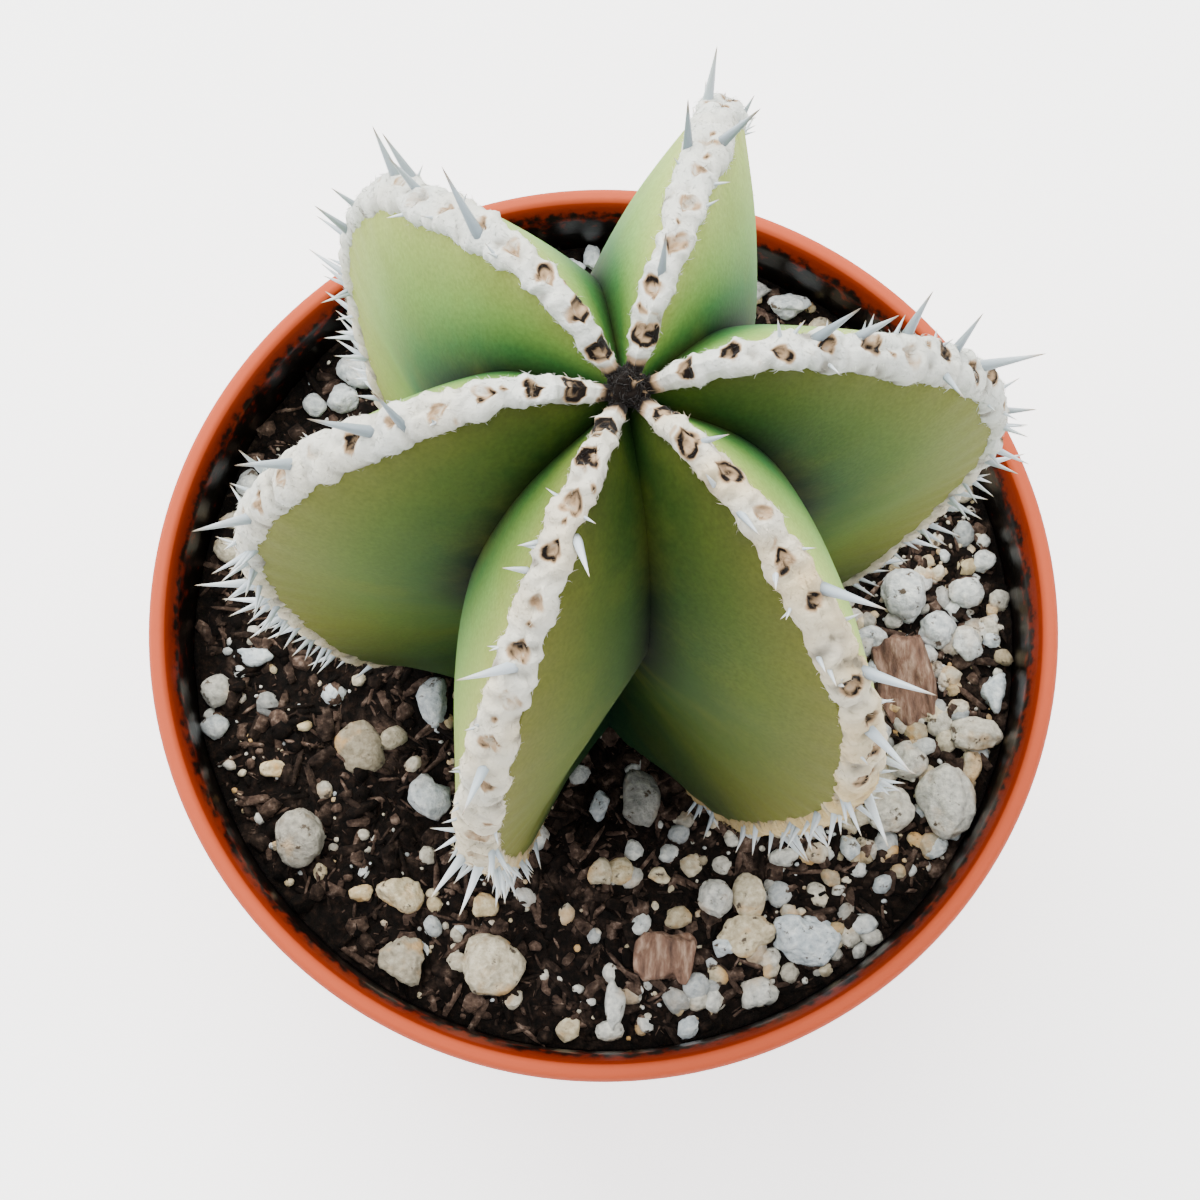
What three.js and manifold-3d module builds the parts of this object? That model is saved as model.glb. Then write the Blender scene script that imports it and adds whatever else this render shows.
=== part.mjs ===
// A young Mexican fence post cactus in a 4-inch round nursery pot.
// Millimetres, +Z up. The origin is the centre of the pot's underside.
import * as THREE from "three";
import { mergeVertices } from "three/addons/utils/BufferGeometryUtils.js";
import Module from "manifold-3d";

const wasm = await Module();
wasm.setup();

// ---------------------------------------------------------------- driving dimensions

const GAP = 0.3; // clearance between touching pieces

const POT = {
  height: 88,
  rimRadius: 51, // outside of the rim skirt
  rimBand: 1.5, // flat top of the rim
  bevel: 1.5, // slope from the rim's top down to the inner wall
  bevelDrop: 2.2,
  skirtHeight: 15, // depth of the stiffening skirt under the rim
  wall: 1.2,
  shoulderRadius: 48.2, // outside of the wall just under the skirt
  footRadius: 36, // outside of the wall at the floor
  floor: 1.8,
  footRecess: 1.2, // how far the middle of the floor is lifted off the table
  footRing: 27, // inner radius of the standing ring
  drainHoles: 8,
  drainRadius: 3.5,
  drainCircle: 22,
};

const SOIL_TOP = 79; // top of the potting mix, 9 mm under the rim

// The rib system is described round an upright axis, then leaned and moved into place.
const PLANT = {
  foot: new THREE.Vector3(-1.5, 1.5, 80), // where the axis passes through the soil
  leanX: 2.3, // degrees towards +X
  leanY: 1.2, // degrees towards +Y
  crestHalfWidth: 1.3,
  crestRound: 0.07, // share of a flank that rounds over into the crest
  bulge: [0.09, 0.05, 0.01], // how far the flanks swell, as a share of their depth: crown, middle, foot
};

// [radius, height] down the crest of a rib and down the groove between two ribs, crown to foot.
const CREST = [
  [0.4, 160.5],
  [8.5, 164],
  [17.5, 161.5],
  [29, 151.5],
  [34, 136],
  [34, 123],
  [32, 105.5],
  [28, 88.5],
  [18, 74.5],
];
const GROOVE = [
  [0.4, 159],
  [10, 156],
  [16.5, 140.5],
  [13, 118.5],
  [9, 97],
  [14, 74],
];
const ROOT_CROWN = [
  [12, 67],
  [6, 59],
]; // [radius, height] of the buried foot

// Azimuth (degrees), reach (a share of CREST's radius) and sideways curl (degrees, crown to foot).
const RIBS = [
  { azimuth: 135, reach: 0.97, curl: 5.5 },
  { azimuth: 73, reach: 1.02, curl: 0.5 },
  { azimuth: 9, reach: 1.03, curl: -2 },
  { azimuth: -52, reach: 1.03, curl: -6 },
  { azimuth: -110, reach: 1.02, curl: 4 },
  { azimuth: -169, reach: 0.97, curl: 1.5 },
];
// The groove after each rib, going clockwise seen from above.
const GROOVE_AZIMUTHS = [99.5, 42, -14, -80, -140, -198];

const WOOL = {
  halfWidth: 1.9, // over the flank, each side of the crest
  thickness: 1.1,
  start: 0.1, // share of the crest's length where a band leaves the crown
  end: 0.9,
};
// Clearances of the felt over the skin, which keep its facets clear of the stem's.
const FELT_LIFT = 0.6;
const FELT_UNDER = 0.45;
const FELT_SIDE = 0.5;
const SPINE_CLEARANCE = 0.75;
const CROWN_TUFT_RADIUS = 5;

// The longest spines of each rib: place down the crest, length, and the tilt in degrees
// down the crest and to the side (towards growing azimuth).
const SPINES = [
  [
    { at: 0.38, length: 7.0, along: -35, side: -15 },
    { at: 0.46, length: 6.2, along: -15, side: 10 },
    { at: 0.6, length: 5.2, along: 0, side: -10 },
    { at: 0.76, length: 4.5, along: 5, side: 10 },
  ],
  [
    { at: 0.34, length: 6.5, along: 25, side: -20 },
    { at: 0.45, length: 7.0, along: 20, side: -15 },
    { at: 0.55, length: 5.5, along: 10, side: 10 },
    { at: 0.7, length: 4.5, along: 0, side: -10 },
  ],
  [
    { at: 0.3, length: 5.0, along: 10, side: 25 },
    { at: 0.44, length: 5.5, along: 0, side: 25 },
    { at: 0.55, length: 6.5, along: -5, side: -5 },
    { at: 0.66, length: 5.0, along: 10, side: -15 },
  ],
  [
    { at: 0.34, length: 6.5, along: 20, side: 30 },
    { at: 0.44, length: 7.0, along: 20, side: 25 },
    { at: 0.6, length: 6.0, along: 0, side: 15 },
    { at: 0.74, length: 5.0, along: -10, side: -5 },
  ],
  [
    { at: 0.22, length: 5.0, along: 25, side: 20 },
    { at: 0.35, length: 6.5, along: 10, side: -35 },
    { at: 0.5, length: 5.5, along: 10, side: -15 },
    { at: 0.7, length: 5.0, along: 5, side: 10 },
  ],
  [
    { at: 0.28, length: 6.5, along: 20, side: -20 },
    { at: 0.42, length: 6.0, along: 15, side: -15 },
    { at: 0.56, length: 6.0, along: 10, side: -10 },
    { at: 0.66, length: 5.0, along: 10, side: 0 },
  ],
];
const SPINE_BASE_RADIUS = 0.55;
const SPINE_TIP_RADIUS = 0.08;

// Pumice and gravel lying on the mix: centre, and the three widths.
const STONES = [
  { name: "stone_front_left", at: [-34.2, -23.9], size: [5.9, 7, 4.6] },
  { name: "stone_left_grey", at: [-44, -7.3], size: [4.6, 4, 3.2] },
  { name: "stone_front_yellow", at: [-23, -30.3], size: [5.4, 4.5, 3.8] },
  { name: "stone_front_tan", at: [-23.2, -38.2], size: [5.6, 5.6, 4] },
  { name: "stone_front_pebble", at: [-12.3, -37.8], size: [7, 6.4, 4.8] },
  { name: "stone_front_cream", at: [12.2, -30.4], size: [4, 4.2, 3.4] },
  { name: "stone_front_slab", at: [15.4, -35.6], size: [6.4, 4.8, 3.4] },
  { name: "stone_front_blue", at: [23.4, -34.6], size: [7.2, 6.4, 4.6] },
  { name: "stone_right_round", at: [34.8, 4.2], size: [5.5, 5.8, 4.8] },
  { name: "stone_right_white", at: [41.8, 4.4], size: [4.4, 3.7, 3.2] },
  { name: "stone_right_cream", at: [41.8, -11.4], size: [5.6, 4, 3.4] },
  { name: "stone_right_large", at: [39.4, -19.4], size: [6.4, 8, 5] },
  { name: "stone_right_front", at: [32.2, -20.4], size: [5, 5.4, 4.2] },
  { name: "stone_back_white", at: [22.2, 38.4], size: [5, 3.3, 3] },
];
const BARK = [
  { name: "bark_chip_right", at: [34.2, -5.2], size: [6, 9, 2.4], turn: 15 },
  { name: "bark_chip_front", at: [7, -37], size: [8, 5.5, 2.6], turn: -10 },
];

// ---------------------------------------------------------------- finishes

const finish = (color, roughness) => new THREE.MeshStandardMaterial({ color, roughness, metalness: 0 });
const TERRACOTTA = finish(0xc6684a, 0.55);
const PEAT = finish(0x35231b, 0.95);
const SKIN = finish(0x5f7a3c, 0.6);
const FELT = finish(0xe6e4de, 0.95);
const CROWN_FELT = finish(0x5a4a3e, 0.95);
const SPINE = finish(0xc9d0d4, 0.45);
const STONE = finish(0xcfc8b8, 0.9);
const BARK_FINISH = finish(0x6b4a3a, 0.95);

// ---------------------------------------------------------------- small helpers

// A geometry as a manifold solid: only positions, with the shared vertices merged.
function solidOf(geometry) {
  const plain = geometry.index ? geometry.toNonIndexed() : geometry.clone();
  plain.deleteAttribute("normal");
  plain.deleteAttribute("uv");
  const merged = mergeVertices(plain, 1e-4);
  return new wasm.Manifold(
    new wasm.Mesh({
      numProp: 3,
      vertProperties: new Float32Array(merged.attributes.position.array),
      triVerts: new Uint32Array(merged.index.array),
    }),
  );
}

// A manifold solid back as a three.js geometry.
function geometryOf(solid) {
  const mesh = solid.getMesh();
  const geometry = new THREE.BufferGeometry();
  geometry.setAttribute("position", new THREE.BufferAttribute(mesh.vertProperties, 3));
  geometry.setIndex(new THREE.BufferAttribute(mesh.triVerts, 1));
  geometry.computeVertexNormals();
  return geometry;
}

// The largest separate piece of a cut solid, as a geometry.
function largestPiece(solid) {
  const pieces = solid.decompose().sort((a, b) => b.volume() - a.volume());
  return geometryOf(pieces[0]);
}

// A closed skin over rings of points; each ring has the same count, and the ends are fanned shut.
function skinOver(rings) {
  const count = rings[0].length;
  const points = rings.flat();
  const faces = [];
  for (let i = 0; i + 1 < rings.length; i += 1) {
    for (let j = 0; j < count; j += 1) {
      const next = (j + 1) % count;
      const a = i * count + j;
      const b = i * count + next;
      faces.push(a, a + count, b, b, a + count, b + count);
    }
  }
  for (const [ring, turned] of [[0, false], [rings.length - 1, true]]) {
    const centre = new THREE.Vector3();
    rings[ring].forEach((p) => centre.addScaledVector(p, 1 / count));
    points.push(centre);
    for (let j = 0; j < count; j += 1) {
      const a = ring * count + j;
      const b = ring * count + ((j + 1) % count);
      faces.push(points.length - 1, ...(turned ? [b, a] : [a, b]));
    }
  }
  const geometry = new THREE.BufferGeometry().setFromPoints(points);
  geometry.setIndex(faces);
  return geometry;
}

// A smooth profile through [radius, height] points, read at a share of its length.
function profileThrough(points) {
  const curve = new THREE.CatmullRomCurve3(points.map(([r, z]) => new THREE.Vector3(r, 0, z)));
  return (share) => curve.getPoint(Math.min(Math.max(share, 0), 1));
}

// ---------------------------------------------------------------- the rib system

const crestAt = profileThrough(CREST);
const grooveAt = profileThrough(GROOVE);
const rad = THREE.MathUtils.degToRad;
const lean = new THREE.Quaternion().setFromUnitVectors(
  new THREE.Vector3(0, 0, 1),
  new THREE.Vector3(Math.tan(rad(PLANT.leanX)), Math.tan(rad(PLANT.leanY)), 1).normalize(),
);

// From the upright rib system to the plant's place in the pot.
function planted(point) {
  const { foot } = PLANT;
  return point.sub(new THREE.Vector3(0, 0, foot.z)).applyQuaternion(lean).add(foot);
}

// How far a flank swells, as a share of its depth, at a share of the height.
function bulgeAt(share) {
  const [crown, middle, foot] = PLANT.bulge;
  return share < 0.5
    ? THREE.MathUtils.lerp(crown, middle, share * 2)
    : THREE.MathUtils.lerp(middle, foot, share * 2 - 1);
}

// A point on the stem's skin. rib is 0 to 5, across runs from -1 (groove after the rib, clockwise)
// through 0 (crest) to 1 (groove before it), and down runs from 0 (crown) to 1 (foot).
function skinPoint(rib, across, down) {
  const { azimuth, reach, curl } = RIBS[rib];
  const side = across < 0 ? -1 : 1;
  const depth = Math.abs(across);
  const crest = crestAt(down);
  const groove = grooveAt(down);
  const crestAngle = rad(azimuth + curl * (2 * down - 1));
  const grooveIndex = side < 0 ? rib : (rib + 5) % 6;
  const grooveAngle = rad(GROOVE_AZIMUTHS[grooveIndex]);
  const top = new THREE.Vector3(
    crest.x * reach * Math.cos(crestAngle),
    crest.x * reach * Math.sin(crestAngle),
    crest.z,
  );
  const bottom = new THREE.Vector3(
    groove.x * Math.cos(grooveAngle),
    groove.x * Math.sin(grooveAngle),
    groove.z,
  );
  const chord = bottom.clone().sub(top);
  const length = Math.hypot(chord.x, chord.y);
  const outward = new THREE.Vector3(side * chord.y, -side * chord.x, 0).multiplyScalar(1 / Math.max(length, 0.01));
  const roundOver = Math.sqrt(1 - (1 - Math.min(depth / PLANT.crestRound, 1)) ** 2);
  const halfWidth = PLANT.crestHalfWidth * Math.min(1, crest.x / 6) * (1 - depth) * roundOver;
  const swell = length * bulgeAt(down) * 4 * depth * (1 - depth);
  return top.addScaledVector(chord, depth).addScaledVector(outward, halfWidth + swell);
}

// The outward normal of the skin, from two small steps along it.
function skinNormal(rib, across, down) {
  const step = 0.004;
  const side = across < 0 ? -1 : 1;
  const from = Math.abs(across) < step ? 0 : across;
  if (from === 0) {
    const { azimuth } = RIBS[rib];
    const tangent = skinPoint(rib, 0, down + step).sub(skinPoint(rib, 0, down - step));
    const sideways = new THREE.Vector3(-Math.sin(rad(azimuth)), Math.cos(rad(azimuth)), 0);
    return tangent.cross(sideways).normalize();
  }
  const alongAcross = skinPoint(rib, from + side * step, down).sub(skinPoint(rib, from, down));
  const alongDown = skinPoint(rib, from, down + step).sub(skinPoint(rib, from, down - step));
  return alongAcross.cross(alongDown).multiplyScalar(-side).normalize();
}

// ---------------------------------------------------------------- the pot and its mix

function potGeometry() {
  const { height, rimRadius, rimBand, bevel, bevelDrop, skirtHeight, wall, shoulderRadius } = POT;
  const { footRadius, floor, footRecess, footRing } = POT;
  const innerRim = rimRadius - rimBand - bevel;
  const profile = [
    [0, footRecess],
    [footRing - 1.5, footRecess],
    [footRing, 0],
    [footRadius - 1, 0],
    [footRadius, 1],
    [shoulderRadius, height - skirtHeight],
    [rimRadius - 0.6, height - skirtHeight],
    [rimRadius, height - 0.4],
    [rimRadius - 0.4, height],
    [rimRadius - rimBand, height],
    [innerRim, height - bevelDrop],
    [innerRim - 0.3, height - skirtHeight],
    [shoulderRadius - wall, height - skirtHeight - 2],
    [footRadius - wall, floor + 1.5],
    [footRadius - wall - 1.5, floor + footRecess],
    [0, floor + footRecess],
  ];
  let pot = solidOf(turnedUpright(profile, 72));
  for (let i = 0; i < POT.drainHoles; i += 1) {
    const angle = (i * 2 * Math.PI) / POT.drainHoles;
    pot = pot.subtract(uprightPin(POT.drainCircle * Math.cos(angle), POT.drainCircle * Math.sin(angle)));
  }
  return geometryOf(pot.subtract(uprightPin(0, 0)));
}

// The cutter for one drain hole, standing through the floor at x, y.
function uprightPin(x, y) {
  const pin = new THREE.CylinderGeometry(POT.drainRadius, POT.drainRadius, 12, 16);
  pin.rotateX(Math.PI / 2);
  pin.translate(x, y, 2);
  return solidOf(pin);
}

// Turns a lathe profile's axis from +Y to +Z.
function turnedUpright(profile, segments) {
  const geometry = new THREE.LatheGeometry(
    profile.map(([r, z]) => new THREE.Vector2(r, z)),
    segments,
  );
  geometry.rotateX(Math.PI / 2);
  return geometry;
}

function mixGeometry() {
  const { height, rimRadius, rimBand, bevel, skirtHeight, wall, shoulderRadius, footRadius, floor, footRecess } = POT;
  const innerRim = rimRadius - rimBand - bevel;
  const under = height - skirtHeight;
  const slope = (shoulderRadius - footRadius) / under;
  const profile = [
    [0, floor + footRecess + GAP],
    [footRadius - wall - 2.2, floor + footRecess + GAP],
    [footRadius - wall - GAP - 0.6, floor + 3],
    [shoulderRadius - wall - GAP - 2.4 * slope - 0.3, under - 2.4],
    [innerRim - 0.3 - GAP - 0.6, under + 0.6],
    [innerRim - 0.3 - GAP, SOIL_TOP - 1.5],
    [innerRim - 1.6, SOIL_TOP - 0.3],
    [28, SOIL_TOP],
    [0, SOIL_TOP],
  ];
  const plug = solidOf(turnedUpright(profile, 72));
  return geometryOf(plug.subtract(solidOf(stemGeometry(GAP + 0.1))));
}

// ---------------------------------------------------------------- the plant

// The ribbed stem down to its buried root crown, grown outwards by margin.
function stemGeometry(margin) {
  const downSteps = 24;
  const acrossSteps = [-1, -0.75, -0.5, -0.3, -0.15, -0.06, 0, 0.06, 0.15, 0.3, 0.5, 0.75];
  const rings = [];
  for (let i = 0; i <= downSteps; i += 1) {
    const down = i === 0 ? 0.012 : i / downSteps;
    const ring = [];
    for (let rib = 5; rib >= 0; rib -= 1) {
      for (const across of acrossSteps) {
        const point = skinPoint(rib, across, down);
        const radial = new THREE.Vector3(point.x, point.y, 0).normalize();
        const outward = across === -1 || down < 0.05 ? radial : skinNormal(rib, across, down);
        point.addScaledVector(outward, margin);
        point.z += margin * Math.max(0, 1 - 4 * down);
        ring.push(planted(point));
      }
    }
    rings.push(ring);
  }
  const foot = rings.at(-1);
  const footCentre = new THREE.Vector3();
  foot.forEach((p) => footCentre.addScaledVector(p, 1 / foot.length));
  const footRadius = CREST.at(-1)[0];
  for (const [radius, z] of ROOT_CROWN) {
    const share = (radius + margin) / footRadius;
    rings.push(
      foot.map((p) => new THREE.Vector3().lerpVectors(footCentre, p, share).setZ(z - margin)),
    );
  }
  return skinOver(rings);
}

// A wool band over one crest: its underside follows the skin with a gap, its back is domed.
function woolGeometry(rib) {
  const steps = 26;
  const lanes = [-1, -0.5, 0, 0.5, 1];
  const rings = [];
  for (let i = 0; i <= steps; i += 1) {
    const down = THREE.MathUtils.lerp(WOOL.start, WOOL.end, i / steps);
    const depth = skinPoint(rib, 1, down).distanceTo(skinPoint(rib, 0, down));
    const reach = (WOOL.halfWidth + FELT_SIDE) / Math.max(depth, 6);
    const place = (lane, height) => {
      const normal = skinNormal(rib, lane * reach, down);
      return planted(skinPoint(rib, lane * reach, down).addScaledVector(normal, height));
    };
    const back = lanes.map((lane) => place(lane, GAP + FELT_LIFT + WOOL.thickness * (1 - 0.6 * lane * lane)));
    const underside = [...lanes].reverse().map((lane) => place(lane, GAP + FELT_UNDER));
    rings.push([...back, ...underside]);
  }
  return largestPiece(solidOf(skinOver(rings)).subtract(solidOf(stemGeometry(GAP))));
}

function crownTuftGeometry() {
  const ball = new THREE.SphereGeometry(CROWN_TUFT_RADIUS, 16, 10);
  ball.scale(1, 1, 0.8);
  const apex = planted(new THREE.Vector3(0, 0, CREST[0][1] + 0.6));
  ball.translate(apex.x, apex.y, apex.z);
  return largestPiece(solidOf(ball).subtract(solidOf(stemGeometry(GAP))));
}

// One conical spine standing off the wool of a rib.
function spineGeometry(rib, { at, length, along, side }) {
  const { azimuth } = RIBS[rib];
  const normal = skinNormal(rib, 0, at);
  const sideways = new THREE.Vector3(-Math.sin(rad(azimuth)), Math.cos(rad(azimuth)), 0);
  const downCrest = skinPoint(rib, 0, at + 0.01).sub(skinPoint(rib, 0, at - 0.01)).normalize();
  const direction = normal
    .clone()
    .multiplyScalar(Math.cos(rad(along)) * Math.cos(rad(side)))
    .addScaledVector(downCrest, Math.sin(rad(along)) * Math.cos(rad(side)))
    .addScaledVector(sideways, Math.sin(rad(side)))
    .normalize();
  const standOff = WOOL.thickness + 2 * GAP + SPINE_CLEARANCE;
  const base = skinPoint(rib, 0, at).addScaledVector(normal, standOff);
  const cone = new THREE.CylinderGeometry(SPINE_TIP_RADIUS, SPINE_BASE_RADIUS, length, 10);
  cone.translate(0, length / 2, 0);
  cone.applyQuaternion(new THREE.Quaternion().setFromUnitVectors(new THREE.Vector3(0, 1, 0), direction));
  cone.translate(base.x, base.y, base.z);
  const position = cone.getAttribute("position");
  for (let i = 0; i < position.count; i += 1) {
    const point = planted(new THREE.Vector3().fromBufferAttribute(position, i));
    position.setXYZ(i, point.x, point.y, point.z);
  }
  return cone;
}

// ---------------------------------------------------------------- stones and bark

// A rounded, slightly angular pebble lying on the mix.
function stoneGeometry({ at, size }, index) {
  const ball = new THREE.IcosahedronGeometry(1, 2);
  const position = ball.getAttribute("position");
  const level = SOIL_TOP + GAP + 0.1;
  for (let i = 0; i < position.count; i += 1) {
    const p = new THREE.Vector3().fromBufferAttribute(position, i);
    const lump = 1 + 0.06 * Math.sin(3.1 * p.x + index) + 0.06 * Math.sin(3.7 * p.y - 2 * index + p.z);
    const x = at[0] + 0.5 * size[0] * lump * p.x;
    const y = at[1] + 0.5 * size[1] * lump * p.y;
    const z = level + Math.max(0, 0.5 * size[2] * (0.75 + lump * p.z));
    position.setXYZ(i, x, y, z);
  }
  return geometryOf(solidOf(ball));
}

// A flat flake of bark with its corners taken off.
function barkGeometry({ at, size, turn }) {
  const [wide, long, thick] = size;
  const outline = new THREE.Shape([
    new THREE.Vector2(-0.5 * wide, -0.3 * long),
    new THREE.Vector2(-0.1 * wide, -0.5 * long),
    new THREE.Vector2(0.42 * wide, -0.36 * long),
    new THREE.Vector2(0.5 * wide, 0.2 * long),
    new THREE.Vector2(0.2 * wide, 0.5 * long),
    new THREE.Vector2(-0.4 * wide, 0.38 * long),
  ]);
  const flake = new THREE.ExtrudeGeometry(outline, {
    depth: thick - 0.8,
    bevelThickness: 0.4,
    bevelSize: 0.4,
    bevelSegments: 2,
  });
  flake.rotateZ(rad(turn));
  flake.translate(at[0], at[1], SOIL_TOP + GAP + 0.5);
  return flake;
}

// ---------------------------------------------------------------- assembly

const cactus = new THREE.Group();

function addPiece(name, geometry, material) {
  const mesh = new THREE.Mesh(geometry, material);
  mesh.name = name;
  cactus.add(mesh);
}

addPiece("pot", potGeometry(), TERRACOTTA);
addPiece("potting_mix", mixGeometry(), PEAT);
addPiece("cactus_stem", stemGeometry(0), SKIN);
addPiece("crown_tuft", crownTuftGeometry(), CROWN_FELT);
RIBS.forEach((_, rib) => {
  addPiece(`rib_${rib + 1}_wool`, woolGeometry(rib), FELT);
  SPINES[rib].forEach((spine, i) => addPiece(`rib_${rib + 1}_spine_${i + 1}`, spineGeometry(rib, spine), SPINE));
});
STONES.forEach((stone, i) => addPiece(stone.name, stoneGeometry(stone, i), STONE));
BARK.forEach((chip) => addPiece(chip.name, barkGeometry(chip), BARK_FINISH));

export default cactus;
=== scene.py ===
"""The looks of a young Mexican fence post cactus in a nursery pot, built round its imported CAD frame.

Metres, +Z up. The origin is under the middle of the pot, and -Y faces the viewer.
"""

from __future__ import annotations

import logging
import math
from collections.abc import Callable, Iterable, Sequence
from dataclasses import dataclass
from enum import Enum

import bmesh
import bpy
import numpy as np
from mathutils import Euler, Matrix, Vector


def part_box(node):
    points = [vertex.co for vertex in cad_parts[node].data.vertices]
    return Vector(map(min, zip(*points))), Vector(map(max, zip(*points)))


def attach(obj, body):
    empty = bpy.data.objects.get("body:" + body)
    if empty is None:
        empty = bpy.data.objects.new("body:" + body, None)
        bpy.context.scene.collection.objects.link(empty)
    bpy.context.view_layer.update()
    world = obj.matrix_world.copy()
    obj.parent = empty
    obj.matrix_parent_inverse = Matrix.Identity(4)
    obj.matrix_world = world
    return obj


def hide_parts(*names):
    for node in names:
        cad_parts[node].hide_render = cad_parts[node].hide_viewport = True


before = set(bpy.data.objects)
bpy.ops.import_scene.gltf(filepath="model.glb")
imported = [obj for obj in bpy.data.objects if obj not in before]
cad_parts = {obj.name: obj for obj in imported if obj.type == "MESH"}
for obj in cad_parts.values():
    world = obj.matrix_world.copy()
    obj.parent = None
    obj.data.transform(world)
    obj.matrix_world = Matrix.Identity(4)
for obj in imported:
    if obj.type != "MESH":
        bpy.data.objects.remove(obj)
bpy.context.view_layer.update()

LOG = logging.getLogger("cactus")
MM = 0.001
ROOT = "root"
RIM_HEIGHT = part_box("pot")[1][2] / MM
RIM_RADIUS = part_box("pot")[1][0] / MM
SOIL_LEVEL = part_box("potting_mix")[1][2] / MM


# ------------------------------------------------------------------------------- small tools


def linear(code: str) -> tuple[float, float, float, float]:
    """Turns an sRGB hex colour into linear light.

    Args:
        code: Six hex digits, such as "c67157".

    Returns:
        Red, green, blue and an alpha of 1.
    """
    shares = [int(code[i : i + 2], 16) / 255 for i in (0, 2, 4)]
    light = [c / 12.92 if c <= 0.04045 else ((c + 0.055) / 1.055) ** 2.4 for c in shares]
    return (light[0], light[1], light[2], 1.0)


def add_node(tree: bpy.types.NodeTree, kind: str, inputs: dict | None = None, **settings) -> bpy.types.Node:
    """Adds a node, sets its properties, and links or sets its inputs.

    Args:
        tree: The shader or geometry tree.
        kind: The node's type name.
        inputs: Input name or index to a value, or to the socket that feeds it.
        **settings: Properties of the node, such as data_type.

    Returns:
        The new node.
    """
    made = tree.nodes.new(kind)
    for name, value in settings.items():
        setattr(made, name, value)
    for name, value in (inputs or {}).items():
        if isinstance(value, bpy.types.NodeSocket):
            tree.links.new(value, made.inputs[name])
        else:
            made.inputs[name].default_value = value
    return made


def value_noise(points: np.ndarray, cell: float, seed: int) -> np.ndarray:
    """Smooth lattice noise.

    Args:
        points: Places, one row of three numbers each.
        cell: Size of a lattice cell, in the points' unit.
        seed: Picks the pattern.

    Returns:
        One value from -1 to 1 for each point.
    """
    scaled = points / cell + 31.7 * seed
    corner = np.floor(scaled).astype(np.int64)
    share = scaled - corner
    share = share * share * (3 - 2 * share)
    total = np.zeros(len(points))
    for step in np.ndindex(2, 2, 2):
        at = corner + np.array(step)
        mixed = at[:, 0] * 73856093 ^ at[:, 1] * 19349663 ^ at[:, 2] * 83492791 ^ seed * 7919
        mixed = ((mixed ^ (mixed >> 13)) * 1274126177) & 0x7FFFFFFF
        weight = np.prod(np.where(np.array(step) == 1, share, 1 - share), axis=1)
        total += weight * (mixed / 0x3FFFFFFF - 1)
    return total


def layered_noise(points: np.ndarray, cell: float, seed: int, layers: int = 3) -> np.ndarray:
    """Value noise with finer and weaker layers on top.

    Args:
        points: Places, one row each.
        cell: The coarsest layer's cell.
        seed: Picks the pattern.
        layers: How many layers, each half the size of the one before.

    Returns:
        One value for each point, about -1 to 1.
    """
    total = np.zeros(len(points))
    for layer in range(layers):
        total += value_noise(points, cell / 2**layer, seed + layer) / 1.8**layer
    return total / 1.6


def grid_faces(rows: int, columns: int, wrap: bool) -> list[tuple[int, ...]]:
    """Quads over a grid of vertices numbered row by row.

    Args:
        rows: How many rows.
        columns: How many vertices a row has.
        wrap: Whether the last column joins the first.

    Returns:
        The faces.
    """
    last = columns if wrap else columns - 1
    faces = []
    for row in range(rows - 1):
        for column in range(last):
            a = row * columns + column
            b = row * columns + (column + 1) % columns
            faces.append((a, a + columns, b + columns, b))
    return faces


def mesh_piece(
    name: str,
    points: np.ndarray,
    faces: Sequence[Sequence[int]],
    attributes: dict[str, np.ndarray] | None = None,
) -> bpy.types.Object:
    """Makes a smooth-shaded mesh object at the origin and links it to the scene.

    Args:
        name: The object's name.
        points: Vertices in metres.
        faces: Vertex indices of each face.
        attributes: Float values for each vertex, by attribute name.

    Returns:
        The object.
    """
    mesh = bpy.data.meshes.new(name)
    mesh.from_pydata([tuple(p) for p in points], [], [tuple(f) for f in faces])
    for label, values in (attributes or {}).items():
        layer = mesh.attributes.new(label, "FLOAT", "POINT")
        layer.data.foreach_set("value", np.asarray(values, dtype=np.float32))
    mesh.shade_smooth()
    piece = bpy.data.objects.new(name, mesh)
    bpy.context.scene.collection.objects.link(piece)
    return piece


def face_outwards(piece: bpy.types.Object) -> None:
    """Turns every face of a closed mesh to face out.

    Args:
        piece: The mesh object.
    """
    shape = bmesh.new()
    shape.from_mesh(piece.data)
    bmesh.ops.recalc_face_normals(shape, faces=shape.faces)
    shape.to_mesh(piece.data)
    shape.free()


def joined(name: str, parts: list[bpy.types.Object]) -> bpy.types.Object:
    """Joins mesh objects into one.

    Args:
        name: The name of the joined object.
        parts: The objects, all at the origin.

    Returns:
        The joined object.
    """
    with bpy.context.temp_override(active_object=parts[0], selected_editable_objects=parts):
        bpy.ops.object.join()
    parts[0].name = name
    parts[0].data.name = name
    return parts[0]


def dress(
    piece: bpy.types.Object, material: bpy.types.Material, nodes: Iterable[str] = ()
) -> None:
    """Gives a piece its finish and hands it to the frame.

    Args:
        piece: The object.
        material: Its material.
        nodes: The CAD nodes that the piece stands for.
    """
    piece.data.materials.clear()
    piece.data.materials.append(material)
    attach(piece, ROOT)
    if nodes:
        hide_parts(*nodes)
    LOG.info("%s: %d faces", piece.name, len(piece.data.polygons))


# ------------------------------------------------------------------------------- finishes


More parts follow.
